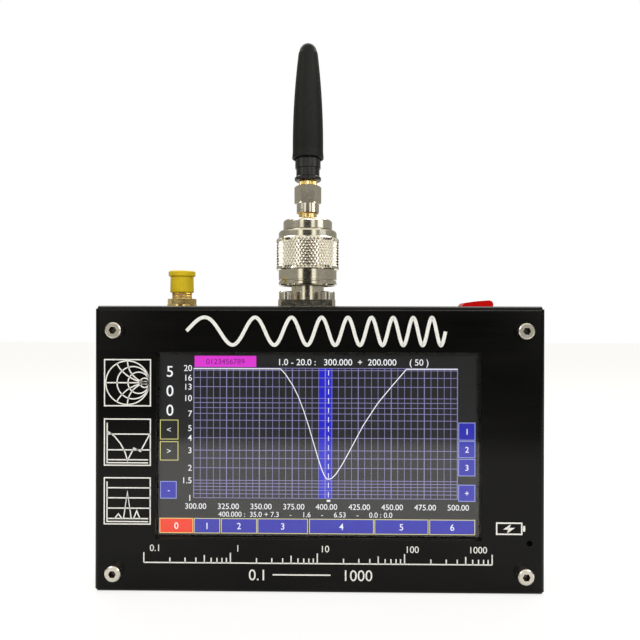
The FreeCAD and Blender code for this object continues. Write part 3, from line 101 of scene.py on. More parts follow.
class Paint:
    """A node material with a principled shader and helpers for its details."""

    def __init__(self, name, colour, roughness=0.5, metallic=0.0, **sockets):
        self.material = bpy.data.materials.new(name)
        self.material.use_nodes = True
        self.tree = self.material.node_tree
        self.shader = self.tree.nodes["Principled BSDF"]
        self.set("Base Color", (*colour, 1.0))
        self.set("Roughness", roughness)
        self.set("Metallic", metallic)
        for key, value in sockets.items():
            self.set(key.replace("_", " "), value)
        self.colour = colour
        self.roughness = roughness

    def set(self, socket, value):
        self.shader.inputs[socket].default_value = value

    def add(self, kind, **inputs):
        node = self.tree.nodes.new(kind)
        for key, value in inputs.items():
            node.inputs[key.replace("_", " ")].default_value = value
        return node

    def link(self, source, target):
        self.tree.links.new(source, target)

    def noise(self, scale, stretch=(1.0, 1.0, 1.0), detail=4.0, rough=0.6):
        """Noise in the object's own coordinates, stretched along chosen axes."""
        place = self.add("ShaderNodeTexCoord")
        mapping = self.add("ShaderNodeMapping", Scale=stretch)
        noise = self.add("ShaderNodeTexNoise", Scale=scale, Detail=detail, Roughness=rough)
        self.link(place.outputs["Object"], mapping.inputs["Vector"])
        self.link(mapping.outputs["Vector"], noise.inputs["Vector"])
        return noise.outputs["Fac"]

    def spread(self, value, low, high, to_low, to_high):
        """Maps part of a value's range to another range."""
        node = self.add(
            "ShaderNodeMapRange",
            From_Min=low,
            From_Max=high,
            To_Min=to_low,
            To_Max=to_high,
        )
        self.link(value, node.inputs["Value"])
        return node.outputs["Result"]

    def vary_roughness(self, value, amount):
        low = max(self.roughness - amount, 0.02)
        high = self.roughness + amount
        self.link(self.spread(value, 0.3, 0.7, low, high), self.shader.inputs["Roughness"])
        return self

    def vary_colour(self, value, other, low=0.35, high=0.65):
        """Blends towards another colour where the value is high."""
        mix = self.add("ShaderNodeMix")
        mix.data_type = "RGBA"
        colours = {"A": self.colour, "B": other}
        for socket in mix.inputs:
            if socket.type == "RGBA":
                socket.default_value = (*colours[socket.name], 1.0)
        self.link(self.spread(value, low, high, 0.0, 1.0), mix.inputs["Factor"])
        result = [out for out in mix.outputs if out.type == "RGBA"][0]
        self.link(result, self.shader.inputs["Base Color"])
        return self

    def bump(self, value, height, strength=0.5):
        """Bump of a real height in millimetres."""
        node = self.add("ShaderNodeBump", Strength=strength, Distance=height * MM)
        self.link(value, node.inputs["Height"])
        self.link(node.outputs["Normal"], self.shader.inputs["Normal"])
        return self

    def math(self, operation, value, other=0.0):
        """A value put through one operation, with a number or another value."""
        node = self.add("ShaderNodeMath")
        node.operation = operation
        for socket, source in zip(node.inputs, (value, other)):
            if isinstance(source, float):
                socket.default_value = source
            else:
                self.link(source, socket)
        return node.outputs["Value"]

    def place(self, axis):
        """One of a point's own coordinates, in metres."""
        coordinates = self.add("ShaderNodeTexCoord")
        split = self.add("ShaderNodeSeparateXYZ")
        self.link(coordinates.outputs["Object"], split.inputs["Vector"])
        return split.outputs[axis]

    def thread(self, pitch, height, low, high):
        """Turns of a screw thread between two heights, as a bump."""
        z = self.place("Z")
        turns = self.math("MULTIPLY", z, 2 * math.pi / (pitch * MM))
        ridges = self.math("SINE", turns)
        inside = self.math("GREATER_THAN", z, low * MM)
        below = self.math("LESS_THAN", z, high * MM)
        shown = self.math("MULTIPLY", self.math("MULTIPLY", ridges, inside), below)
        return self.bump(shown, height / 2, 1.0)

    def sockets_of_screws(self, low, high, head, socket, dark):
        """Paints shade into the sockets of four screws in the corners of a box, heads to the
        front: the darker colour inside each socket is painted shade, not the steel's own colour.
        """
        middle = (low + high) / 2
        reach = (high - low) / 2
        across = []
        for axis, index in (("X", 0), ("Z", 2)):
            apart = self.math("SUBTRACT", self.place(axis), middle[index] * MM)
            apart = self.math("ABSOLUTE", apart)
            near = self.math("SUBTRACT", apart, (reach[index] - head / 2) * MM)
            across.append(self.math("MULTIPLY", near, near))
        distance = self.math("SQRT", self.math("ADD", *across))
        in_socket = self.math("LESS_THAN", distance, socket / 2 * MM)
        behind = self.math("GREATER_THAN", self.place("Y"), (low.y + SOCKET_EDGE) * MM)
        # Painted shade: the sockets are coloured darker where shade falls in the recess.
        self.vary_colour(self.math("MULTIPLY", in_socket, behind), dark, 0.2, 0.8)


def brushed_case():
    paint = Paint("black_brushed_anodised", (0.0015, 0.0016, 0.0017), 0.16, 0.0)
    paint.set("Specular IOR Level", 0.12)
    lines = paint.noise(1100.0, (0.03, 1.0, 1.0), 5.0, 0.75)
    broad = paint.noise(60.0, (0.3, 1.0, 1.0), 3.0)
    paint.vary_roughness(lines, 0.05)
    paint.vary_colour(broad, (0.0035, 0.0035, 0.0036))
    paint.bump(lines, 0.02, 0.4)
    return paint.material


def metal(name, colour, dark, roughness, scale=700.0):
    paint = Paint(name, colour, roughness, 1.0)
    grain = paint.noise(scale, (1.0, 1.0, 1.6), 5.0)
    paint.vary_roughness(grain, roughness * 0.3)
    paint.vary_colour(paint.noise(160.0), dark, 0.45, 0.8)
    paint.bump(grain, 0.005, 0.15)
    return paint.material


# Painted shade inside screw sockets: how far behind the head's face it starts, and its colour.
SOCKET_EDGE = 0.25
SOCKET_PAINTED_SHADE = (0.05, 0.045, 0.04)


def threaded_metal(name, colour, roughness, pitch, height, low, high):
    """A metal whose piece carries a plain cylinder where its thread is."""
    paint = Paint(name, colour, roughness, 1.0)
    paint.vary_roughness(paint.noise(700.0, (1.0, 1.0, 1.6), 5.0), roughness * 0.35)
    paint.thread(pitch, height, low, high)
    return paint.material


def screw_steel(node, head, socket):
    """Steel for four socket screws that face the front, with painted shade inside their sockets.
    """
    low, high = (in_mm(corner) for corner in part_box(node))
    paint = Paint("screw_steel", STEEL, 0.26, 1.0)
    grain = paint.noise(700.0, (1.0, 1.0, 1.6), 5.0)
    paint.vary_roughness(grain, 0.08)
    paint.bump(grain, 0.01, 0.25)
    # Painted shade darkens the inside of each screw socket.
    paint.sockets_of_screws(low, high, head, socket, SOCKET_PAINTED_SHADE)
    return paint.material


def plastic(name, colour, other, roughness, grain=0.02, scale=900.0, **sockets):
    paint = Paint(name, colour, roughness, 0.0, **sockets)
    noise = paint.noise(scale, (1.0, 1.0, 1.0), 5.0)
    paint.vary_roughness(noise, roughness * 0.2)
    paint.vary_colour(paint.noise(180.0), other, 0.35, 0.75)
    paint.bump(noise, grain, 0.4)
    return paint.material


def clear_glass():
    """Thin clear glass: seen through straight, with a surface reflection."""
    material = bpy.data.materials.new("touch_glass")
    material.use_nodes = True
    tree = material.node_tree
    tree.nodes.clear()
    output = tree.nodes.new("ShaderNodeOutputMaterial")
    through = tree.nodes.new("ShaderNodeBsdfTransparent")
    through.inputs["Color"].default_value = (0.97, 0.98, 0.98, 1.0)
    shine = tree.nodes.new("ShaderNodeBsdfGlossy")
    shine.inputs["Roughness"].default_value = 0.03
    place = tree.nodes.new("ShaderNodeTexCoord")
    smear = tree.nodes.new("ShaderNodeTexNoise")
    smear.inputs["Scale"].default_value = 55.0
    spread = tree.nodes.new("ShaderNodeMapRange")
    spread.inputs["To Min"].default_value = 0.02
    spread.inputs["To Max"].default_value = 0.07
    tree.links.new(place.outputs["Object"], smear.inputs["Vector"])
    tree.links.new(smear.outputs["Fac"], spread.inputs["Value"])
    tree.links.new(spread.outputs["Result"], shine.inputs["Roughness"])
    fresnel = tree.nodes.new("ShaderNodeFresnel")
    fresnel.inputs["IOR"].default_value = 1.6
    mix = tree.nodes.new("ShaderNodeMixShader")
    tree.links.new(fresnel.outputs["Fac"], mix.inputs["Fac"])
    tree.links.new(through.outputs["BSDF"], mix.inputs[1])
    tree.links.new(shine.outputs["BSDF"], mix.inputs[2])
    tree.links.new(mix.outputs["Shader"], output.inputs["Surface"])
    return material


def glow(name, colour, strength=1.0):
    """A lit part of the screen's picture, slightly uneven as its backlight is."""
    paint = Paint(name, (0.0, 0.0, 0.0), 0.4)
    paint.set("Emission Color", (*colour, 1.0))
    cloud = paint.noise(25.0, (1.0, 1.0, 1.0), 1.0)
    level = paint.spread(cloud, 0.2, 0.8, strength * 0.94, strength * 1.06)
    paint.link(level, paint.shader.inputs["Emission Strength"])
    return paint.material


STEEL = (0.56, 0.53, 0.49)
NICKEL = (0.60, 0.57, 0.50)
GOLD = (0.95, 0.72, 0.32)
PAINTS = {
    "black_case": brushed_case(),
    "steel": metal("stainless_steel", STEEL, (0.36, 0.35, 0.33), 0.22),
    "nickel": metal("nickel_plate", NICKEL, (0.48, 0.45, 0.39), 0.14),
    "gold": metal("gold_plate", GOLD, (0.66, 0.46, 0.17), 0.20),
    "tin_plate": metal("tin_plate", (0.58, 0.58, 0.58), (0.44, 0.44, 0.45), 0.34),
    "tinned_wire": metal("tinned_wire", (0.70, 0.70, 0.69), (0.55, 0.55, 0.54), 0.28),
    "copper_wire": metal("enamelled_copper", (0.70, 0.30, 0.14), (0.50, 0.20, 0.08), 0.30),
    "battery_foil": metal("battery_foil", (0.60, 0.61, 0.63), (0.48, 0.49, 0.52), 0.38),
    "black_foam": plastic("black_foam", (0.02, 0.02, 0.02), (0.035, 0.035, 0.035), 0.9, 0.1),
    "light_guide": plastic("light_guide", (0.8, 0.82, 0.85), (0.7, 0.72, 0.76), 0.3),
    "amber_film": plastic("amber_film", (0.42, 0.19, 0.03), (0.3, 0.12, 0.02), 0.25),
    "ivory_plastic": plastic("ivory_plastic", (0.72, 0.67, 0.54), (0.64, 0.59, 0.46), 0.5),
    "green_board": plastic("green_board", (0.01, 0.13, 0.05), (0.01, 0.08, 0.03), 0.3),
    "chip_black": plastic("chip_black", (0.02, 0.02, 0.02), (0.03, 0.03, 0.03), 0.55),
    "red_wire": plastic("red_wire", (0.50, 0.02, 0.01), (0.38, 0.01, 0.01), 0.4),
    "lamp_lens": plastic("lamp_lens", (0.12, 0.10, 0.08), (0.07, 0.06, 0.05), 0.2),
    "white_insulator": plastic("insulator", (0.80, 0.79, 0.75), (0.72, 0.70, 0.66), 0.45),
    "black_plastic": plastic(
        "black_plastic", (0.004, 0.004, 0.004), (0.007, 0.007, 0.007), 0.3, Specular_IOR_Level=0.3
    ),
    "red_seal": plastic("red_seal", (0.42, 0.03, 0.02), (0.32, 0.02, 0.01), 0.5),
    "black_rubber": plastic(
        "black_rubber",
        (0.0022, 0.0026, 0.0020),
        (0.0035, 0.0038, 0.0032),
        0.5,
        0.03,
        1400.0,
        Specular_IOR_Level=0.16,
    ),
    "yellow_plastic": plastic(
        "yellow_vinyl", (0.56, 0.41, 0.0), (0.47, 0.33, 0.0), 0.46, Specular_IOR_Level=0.3
    ),
    "red_plastic": plastic(
        "red_gloss",
        (0.62, 0.004, 0.003),
        (0.45, 0.001, 0.001),
        0.14,
        Coat_Weight=0.2,
        Specular_IOR_Level=0.3,
    ),
    "touch_glass": clear_glass(),
    "screen": plastic("screen_face", (0.002, 0.002, 0.004), (0.003, 0.003, 0.006), 0.3),
}


# Pieces whose paint shows a thread, or painted shade inside the sockets of screws. Threads run
# between two heights above the case top.

SCREW_HEAD = 4.7
SCREW_SOCKET = 2.4
SMALL_PITCH = 25.4 / 36
SMALL_DEPTH = 0.36
SMALL_LOW = 2.2
SMALL_HIGH = 10.0
LARGE_PITCH = 25.4 / 24
LARGE_DEPTH = 0.5
LARGE_LOW = 8.0
LARGE_HIGH = 16.0
SPECIAL = {
    "front_screws": screw_steel("front_screws", SCREW_HEAD, SCREW_SOCKET),
    "sma_jack_body": threaded_metal(
        "gold_thread", GOLD, 0.20, SMALL_PITCH, SMALL_DEPTH, TOP + SMALL_LOW, TOP + SMALL_HIGH
    ),
    "n_jack_body": threaded_metal(
        "nickel_thread", NICKEL, 0.18, LARGE_PITCH, LARGE_DEPTH, TOP + LARGE_LOW, TOP + LARGE_HIGH
    ),
}


def dress_nodes():
    """Gives every piece of the frame its own material or that of its slot."""
    for entry in frame["record"]["subparts"]:
        node = nodes[entry["node"]]
        material = SPECIAL.get(entry["node"], PAINTS[entry["material_slot"]])
        node.data.materials.clear()
        node.data.materials.append(material)


# Building pieces. These two are in metres.


FLAT_ENOUGH = 2e-6
SAME_POINT = 1e-7


def link_piece(name, mesh, material, body, smooth_angle=None):
    """Puts a mesh in the scene as a piece of the object."""
    piece = bpy.data.objects.new(name, mesh)
    scene.collection.objects.link(piece)
    mesh.materials.append(material)
    if smooth_angle is not None:
        for polygon in mesh.polygons:
            polygon.use_smooth = True
        mesh.set_sharp_from_angle(angle=math.radians(smooth_angle))
    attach(piece, body)
    return piece


def face_along_valley(build, a, b, c, d, axis):
    """A square face, split along its lower diagonal where its corners aren't level."""

    def out(*corners):
        return sum(math.hypot(v.co.x - axis[0] * MM, v.co.y - axis[1] * MM) for v in corners)

    first = out(a, c)
    second = out(b, d)
    if abs(first - second) < FLAT_ENOUGH:
        build.faces.new((a, b, c, d))
    elif first < second:
        build.faces.new((a, b, c))
        build.faces.new((a, c, d))
    else:
        build.faces.new((a, b, d))
        build.faces.new((b, c, d))


def turned_piece(name, outline, axis, slot, body, segments=96, relief=None, smooth_angle=35):
    """A closed solid of revolution. relief(z, angle) is taken off the outside radius."""
    mesh = bpy.data.meshes.new(name)
    build = bmesh.new()
    rings = []
    for radius, z, outside in outline:
        ring = []
        for step in range(segments):
            angle = 2 * math.pi * step / segments
            size = radius
            if outside and relief:
                size -= relief(z, angle)
            x = axis[0] + size * math.cos(angle)
            y = axis[1] + size * math.sin(angle)
            ring.append(build.verts.new(Vector((x, y, TOP + z)) * MM))
        rings.append(ring)
    for ring, other in zip(rings, rings[1:] + rings[:1]):
        for step in range(segments):
            after = (step + 1) % segments
            face_along_valley(build, ring[step], ring[after], other[after], other[step], axis)
    bmesh.ops.remove_doubles(build, verts=build.verts, dist=SAME_POINT)
    bmesh.ops.recalc_face_normals(build, faces=build.faces)
    build.to_mesh(mesh)
    build.free()
    return link_piece(name, mesh, PAINTS[slot], body, smooth_angle)


def plain(*points):
    """Outline points that take no relief."""
    return [(radius, z, False) for radius, z in points]


def carved(radius, low, high, step):
    """Outline points up a cylinder, close enough for a relief to show."""
    count = max(2, round((high - low) / step))
    return [(radius, low + (high - low) * i / count, True) for i in range(count + 1)]


def wave(phase):
    """A triangle wave from 0 to 1 and back in one turn of the phase."""
    part = phase % 1.0
    return 2 * min(part, 1 - part)


def thread_relief(pitch, depth, low, high):
    """A screw thread that fades out at both ends."""

    def relief(z, angle):
        fade = min(1.0, max(0.0, min(z - low, high - z) / (pitch / 2)))
        return depth * fade * wave(z / pitch - angle / (2 * math.pi))

    return relief


def knurl_relief(count, pitch, depth, low, high):
    """Diamond knurling: two families of crossing grooves that leave pyramids."""

    def relief(z, angle):
        fade = min(1.0, max(0.0, min(z - low, high - z) / (pitch / 4)))
        around = count * angle / (2 * math.pi)
        along = (z - low) / pitch
        return depth * (1 - min(wave(around + along), wave(around - along))) * fade

    return relief


def rib_relief(count, depth):
    """Straight knurling along the axis."""

    def relief(z, angle):
        return depth * (1 - wave(count * angle / (2 * math.pi)))

    return relief


# Coupling nut, heights above the case top


NUT_LOW = 6.65
NUT_TOP = 24.0
NUT_RING = 9.2
NUT_GRIP = 9.9
GRIP_LOW = 11.5
GRIP_TOP = 21.65
NUT_BORE = 7.95
LIP_BORE = 6.0
LIP_LOW = 21.0
KNURL_COUNT = 54
KNURL_PITCH = 1.72
KNURL_DEPTH = 0.42
KNURL_ROWS = 11
KNURL_EDGE = 0.3


def make_coupling_nut():
    outline = plain(
        (NUT_BORE, NUT_LOW),
        (NUT_RING - 0.35, NUT_LOW),
        (NUT_RING, NUT_LOW + 0.35),
        (NUT_RING, NUT_LOW + 1.1),
        (NUT_RING - 0.22, NUT_LOW + 1.3),
        (NUT_RING - 0.22, NUT_LOW + 1.6),
        (NUT_RING, NUT_LOW + 1.8),
        (NUT_RING, GRIP_LOW),
        (NUT_GRIP - 0.4, GRIP_LOW),
    )
    low = GRIP_LOW + KNURL_EDGE
    high = low + KNURL_ROWS * KNURL_PITCH / 2
    outline += carved(NUT_GRIP, low, high, KNURL_PITCH / 2)
    outline += plain(
        (NUT_GRIP - 0.4, GRIP_TOP),
        (NUT_RING, GRIP_TOP),
        (NUT_RING, NUT_TOP - 0.7),
        (NUT_RING - 0.25, NUT_TOP - 0.25),
        (NUT_RING - 0.7, NUT_TOP),
        (LIP_BORE, NUT_TOP),
        (LIP_BORE, LIP_LOW),
        (NUT_BORE, LIP_LOW),
    )
    knurl = knurl_relief(KNURL_COUNT, KNURL_PITCH, KNURL_DEPTH, low, high)
    segments = 2 * KNURL_COUNT
    piece = turned_piece(
        "coupling_nut_knurled", outline, MAIN_AXIS, "nickel", "coupling_nut", segments, knurl, 15
    )
    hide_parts("adapter_coupling_nut")


# Threads that show where a connector ends or is taken off


SMALL_THREAD = 3.1
SMALL_BORE = 2.05
BARREL_SEAT = 25.4
BARREL_SHOULDER = 27.4
BARREL_RIM = 3.85
BARREL_RIM_TOP = 28.1
BARREL_NECK = 2.85
BARREL_NECK_TOP = 29.4
BARREL_TOP = 36.2


def make_gold_barrel():
    outline = plain(
        (SMALL_BORE, BARREL_SEAT),
        (SMALL_THREAD, BARREL_SEAT),
        (SMALL_THREAD, BARREL_SHOULDER),
        (BARREL_RIM, BARREL_SHOULDER),
        (BARREL_RIM, BARREL_RIM_TOP - 0.25),
        (BARREL_RIM - 0.25, BARREL_RIM_TOP),
        (BARREL_NECK, BARREL_RIM_TOP + 0.15),
        (BARREL_NECK, BARREL_NECK_TOP),
    )
    outline += carved(SMALL_THREAD, BARREL_NECK_TOP + 0.1, BARREL_TOP - 0.3, 0.08)
    outline += plain((SMALL_THREAD - 0.3, BARREL_TOP), (SMALL_BORE, BARREL_TOP))
    relief = thread_relief(SMALL_PITCH, SMALL_DEPTH, BARREL_NECK_TOP, BARREL_TOP)
    piece = turned_piece(
        "gold_barrel_threaded", outline, MAIN_AXIS, "gold", "adapter", 72, relief, 50
    )
    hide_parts("adapter_sma_barrel")


FERRULE_LOW = 36.4
FERRULE_NECK = 2.3
FERRULE_HEAD = 2.85
FERRULE_HEAD_LOW = 38.45
FERRULE_TOP = 40.0
FERRULE_BORE = 1.6


def make_ferrule():
    outline = plain(
        (FERRULE_BORE, FERRULE_LOW),
        (FERRULE_NECK, FERRULE_LOW),
        (FERRULE_NECK, FERRULE_HEAD_LOW),
        (FERRULE_HEAD - 0.3, FERRULE_HEAD_LOW),
    )
    outline += carved(FERRULE_HEAD, FERRULE_HEAD_LOW + 0.2, FERRULE_TOP - 0.15, 0.4)
    outline += plain((FERRULE_HEAD - 0.3, FERRULE_TOP), (FERRULE_BORE, FERRULE_TOP))
    piece = turned_piece(
        "ferrule_ribbed", outline, MAIN_AXIS, "gold", "antenna", 240, rib_relief(30, 0.16), 20
    )
    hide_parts("antenna_ferrule")


# Flat figures on the front panel and on the screen


class Figure:
    """Flat shapes in X and Z that become one thin piece facing the front."""

    def __init__(self):
        self.corners = []
        self.faces = []

    def polygon(self, corners):
        start = len(self.corners)
        self.corners += corners
        self.faces.append(tuple(range(start, start + len(corners))))

    def box(self, x0, z0, x1, z1):
        self.polygon([(x0, z0), (x1, z0), (x1, z1), (x0, z1)])

    def line(self, points, width, closed=False):
        """A line of one width with mitred corners."""
        count = len(points)
        sides = []
        for index, (x, z) in enumerate(points):
            before = points[index - 1] if index or closed else None
            after = points[(index + 1) % count] if index < count - 1 or closed else None
            normals = []
            for one, two in ((before, (x, z)), ((x, z), after)):
                if one and two:
                    along = Vector((two[0] - one[0], two[1] - one[1])).normalized()
                    normals.append(Vector((-along.y, along.x)))
            across = sum(normals, Vector((0.0, 0.0))).normalized()
            reach = width / 2 / max(across.dot(normals[0]), 0.35)
            sides.append((across * reach, (x, z)))
        start = len(self.corners)
        for across, (x, z) in sides:
            self.corners += [(x + across.x, z + across.y), (x - across.x, z - across.y)]
        for index in range(count if closed else count - 1):
            a = start + 2 * index
            b = start + 2 * ((index + 1) % count)
            self.faces.append((a, a + 1, b + 1, b))

    def frame(self, x0, z0, x1, z1, width):
        h = width / 2
        corners = [(x0 + h, z0 + h), (x1 - h, z0 + h), (x1 - h, z1 - h), (x0 + h, z1 - h)]
        self.line(corners, width, closed=True)

    def text(self, words, x, z, height, align="CENTER", weight=0.0):
        """Numbers and signs, centred in height on z."""
        curve = bpy.data.curves.new("words", "FONT")
        curve.body = words
        curve.size = height / 0.72
        curve.align_x = align
        curve.offset = weight
        holder = bpy.data.objects.new("words", curve)
        scene.collection.objects.link(holder)
        mesh = bpy.data.meshes.new_from_object(holder)
        start = len(self.corners)
        self.corners += [(x + v.co.x, z - height / 2 + v.co.y) for v in mesh.vertices]
        for polygon in mesh.polygons:
            self.faces.append(tuple(start + index for index in polygon.vertices))
        bpy.data.objects.remove(holder)
        bpy.data.meshes.remove(mesh)
        bpy.data.curves.remove(curve)

    def piece(self, name, material, slot, back, thickness):
        """Extrudes the figure from a plane towards the front."""
        build = bmesh.new()
        verts = [build.verts.new(Vector((x, back, z)) * MM) for x, z in self.corners]
        for face in self.faces:
            build.faces.new([verts[index] for index in face])
        bmesh.ops.remove_doubles(build, verts=build.verts, dist=1e-8)
        grown = bmesh.ops.extrude_face_region(build, geom=build.faces[:])
        moved = [item for item in grown["geom"] if isinstance(item, bmesh.types.BMVert)]
        bmesh.ops.translate(build, verts=moved, vec=Vector((0, -thickness * MM, 0)))
        bmesh.ops.recalc_face_normals(build, faces=build.faces)
        mesh = bpy.data.meshes.new(name)
        build.to_mesh(mesh)
        build.free()
        return link_piece(name, mesh, material, "root")


def circle_points(x, z, radius, start=0.0, end=360.0, step=6.0):
    count = max(3, round(abs(end - start) / step))
    points = []
    for index in range(count + 1):
        angle = math.radians(start + (end - start) * index / count)
        points.append((x + radius * math.cos(angle), z + radius * math.sin(angle)))
    return points


# Engraved figures, heights above the bottom of the case


ENGRAVED_LINE = 0.36
ENGRAVED_DEPTH = 0.02
ICON_SIDE = 14.1
ICON_LEFT = -64.05
ICON_LOWS = (55.4, 37.7, 20.2)


def smith_chart(figure, left, low):
    """Circles of constant resistance and arcs of constant reactance in a ring."""
    centre_x = left + ICON_SIDE / 2
    centre_z = low + ICON_SIDE / 2
    radius = 6.5
    figure.line(circle_points(centre_x, centre_z, radius)[:-1], ENGRAVED_LINE, closed=True)
    figure.line([(centre_x - radius, centre_z), (centre_x + radius, centre_z)], ENGRAVED_LINE)
    for resistance in (0.35, 1.05, 3.7):
        size = radius / (1 + resistance)
        ring = circle_points(centre_x + radius - size, centre_z, size)[:-1]
        figure.line(ring, ENGRAVED_LINE, closed=True)
    for reactance in (0.58, 1.0):
        size = radius / reactance
        sweep = 2 * math.degrees(math.atan(1 / reactance))
        x = centre_x + radius
        reach = 180.0 - sweep
        for side in (1, -1):
            start = side * -90.0
            end = side * (-90.0 - reach)
            arc = circle_points(x, centre_z + side * size, size, start, end)
            figure.line(arc, ENGRAVED_LINE)
    figure.polygon(circle_points(centre_x + radius - 1.1, centre_z, 0.55)[:-1])


def axes_of_icon(figure, left, low, levels):
    """A vertical scale, a double base line and some levels across."""
    x = left + 1.0
    right = left + ICON_SIDE
    figure.line([(x, low + ICON_SIDE - 1.3), (x, low + 0.9), (right - 0.8, low + 0.9)],
                ENGRAVED_LINE)
    figure.line([(x, low + 1.8), (right - 0.8, low + 1.8)], ENGRAVED_LINE)
    for level in levels:
        figure.line([(x, low + level), (right, low + level)], ENGRAVED_LINE)


def dip_curve(figure, left, low):
    axes_of_icon(figure, left, low, (4.75, 9.45))
    points = [(1.0, 10.3), (3.2, 8.8), (5.0, 6.6), (6.3, 4.2), (7.1, 1.6)]
    points += [(9.0, 5.3), (11.0, 4.3), (13.7, 9.4)]
    figure.line([(left + x, low + z) for x, z in points], ENGRAVED_LINE)


def peaks(figure, left, low):
    axes_of_icon(figure, left, low, (4.9, 7.95, 10.95))
    for x, half, height in ((4.4, 1.1, 1.4), (7.1, 1.15, 7.9), (9.9, 0.95, 2.3)):
        base = low + 1.8
        points = [(left + x - half, base), (left + x, base + height), (left + x + half, base)]
        figure.line(points, ENGRAVED_LINE)


SWEEP_LEFT = -39.4
SWEEP_RIGHT = 37.4
SWEEP_MIDDLE = 77.9
SWEEP_HEIGHT = 4.1
SWEEP_LINE = 1.05
SWEEP_WAVES = 9.0


def swept_wave(figure):
    """A wave whose frequency rises from left to right, above the screen."""
    steps = 640
    points = []
    for index in range(steps + 1):
        part = index / steps
        phase = 2 * math.pi * SWEEP_WAVES * (0.35 * part + 0.65 * part * part)
        x = SWEEP_LEFT + (SWEEP_RIGHT - SWEEP_LEFT) * part
        points.append((x, SWEEP_MIDDLE + SWEEP_HEIGHT * math.sin(phase)))
    figure.line(points, SWEEP_LINE)


RULER_LEFT = -52.0
RULER_RIGHT = 51.3
RULER_LOW = 9.0
RULER_DECADES = 4
RULER_LONG = 3.0
RULER_MIDDLE = 2.3
RULER_SHORT = 1.5
RULER_NUMBERS = 13.4
RULER_NUMBER_HEIGHT = 2.0


def ruler(figure):
    """A scale of four decades below the screen."""
    span = (RULER_RIGHT - RULER_LEFT) / RULER_DECADES
    figure.line([(RULER_LEFT, RULER_LOW), (RULER_RIGHT, RULER_LOW)], ENGRAVED_LINE)
    for decade in range(RULER_DECADES):
        for digit in range(1, 10):
            x = RULER_LEFT + span * (decade + math.log10(digit))
            height = {1: RULER_LONG, 5: RULER_MIDDLE}.get(digit, RULER_SHORT)
            figure.line([(x, RULER_LOW), (x, RULER_LOW + height)], ENGRAVED_LINE)
    last = [(RULER_RIGHT, RULER_LOW), (RULER_RIGHT, RULER_LOW + RULER_LONG)]
    figure.line(last, ENGRAVED_LINE)
    for decade, words in enumerate(("0.1", "1", "10", "100", "1000")):
        shift = {0: 3.4, 4: -4.2}.get(decade, 2.2)
        place = RULER_LEFT + span * decade + shift
        figure.text(words, place, RULER_NUMBERS, RULER_NUMBER_HEIGHT)


RANGE_MIDDLE = 5.6
RANGE_HEIGHT = 3.3
RANGE_LINE = 0.4


def battery_sign(figure):
    """A battery with a bolt beside the charge indicator."""
    figure.frame(52.4, 17.9, 60.2, 21.6, 0.42)
    figure.box(60.35, 18.9, 61.0, 20.6)
    figure.polygon([(56.8, 21.1), (54.5, 19.5), (56.1, 19.5)])
    figure.polygon([(56.1, 20.0), (58.0, 20.0), (55.7, 18.4)])


def make_engraving():
    figure = Figure()
    for low, draw in zip(ICON_LOWS, (smith_chart, dip_curve, peaks)):
        figure.frame(ICON_LEFT, low, ICON_LEFT + ICON_SIDE, low + ICON_SIDE, ENGRAVED_LINE)
        draw(figure, ICON_LEFT, low)
    swept_wave(figure)
    ruler(figure)
    figure.text("0.1", -18.0, RANGE_MIDDLE, RANGE_HEIGHT)
    figure.text("1000", 11.5, RANGE_MIDDLE, RANGE_HEIGHT)
    figure.line([(-13.6, RANGE_MIDDLE), (3.6, RANGE_MIDDLE)], RANGE_LINE)
    battery_sign(figure)
    paint = Paint("engraved_white", (0.66, 0.66, 0.66), 0.6)
    paint.vary_colour(paint.noise(2500.0), (0.40, 0.40, 0.40), 0.5, 0.8)
    figure.piece("panel_engraving", paint.material, "steel", FRONT, ENGRAVED_DEPTH)


# Screen picture, drawn in the screen's own dots from its upper left corner


DOT = 95.04 / 480
DOTS_HIGH = 272
PICTURE_LEFT = -47.995
PICTURE_TOP = TOP - 14.7
GRID_LEFT = 52
GRID_RIGHT = 452
GRID_TOP = 20
GRID_LOW = 217.5
PICTURE_BACK = GLASS_HIGH.y - 0.01
LAYER = 0.015


class Screen(Figure):
    """A figure in dots: X to the right and Y down."""

    def at(self, x, y):
        return PICTURE_LEFT + x * DOT, PICTURE_TOP - y * DOT

    def area(self, x0, y0, x1, y1):
        left, high = self.at(x0, y0)
        right, low = self.at(x1, y1)
        self.box(left, low, right, high)

    def path(self, points, width, closed=False):
        self.line([self.at(x, y) for x, y in points], width * DOT, closed)

    def edge(self, x0, y0, x1, y1, width=1.0):
        left, high = self.at(x0, y0)
        right, low = self.at(x1, y1)
        self.frame(left, low, right, high, width * DOT)

    def words(self, text, x, y, height, align="CENTER", weight=0.0):
        left, middle = self.at(x, y)
        self.text(text, left, middle, height * DOT, align, weight)


def ratio_level(ratio):
    """The height of a ratio on the logarithmic scale."""
    share = math.log10(ratio) / math.log10(20)
    return GRID_LOW - (GRID_LOW - GRID_TOP) * share


RATIO_LINES = (20, 19, 16, 13, 10, 9, 8, 7, 6, 5, 4, 3, 2.5, 2, 1.5, 1.4, 1.3, 1.2, 1.1, 1)
RATIO_NUMBERS = ("20", "16", "13", "10", "7", "5", "4", "3", "2", "1.5", "1")
KEYS = ((0, 51.5), (52.5, 92.5), (94, 148.5), (149.5, 226), (228, 326), (327, 408.5), (410, 479))
KEY_TOP = 248.5
KEY_LOW = 271.5
SIDE_KEYS = ((101.5, 128.5, "1"), (129.5, 155, "2"), (156.5, 182.5, "3"), (195.5, 221, "+"))
TRACE = (
    (GRID_LEFT, 21), (184, 21), (191.4, 29), (203, 46.5), (211.5, 64), (219.4, 84.7),
    (227, 108), (233.4, 130), (241.6, 157.7), (246.5, 172.5), (251.2, 183.2), (254, 187.5),
    (257, 188.5), (262.5, 186.5), (268.2, 180.7), (278, 165.5), (287.6, 148), (309.4, 106.8),
    (331.3, 73), (353, 46.5), (375, 21), (GRID_RIGHT, 21),
)


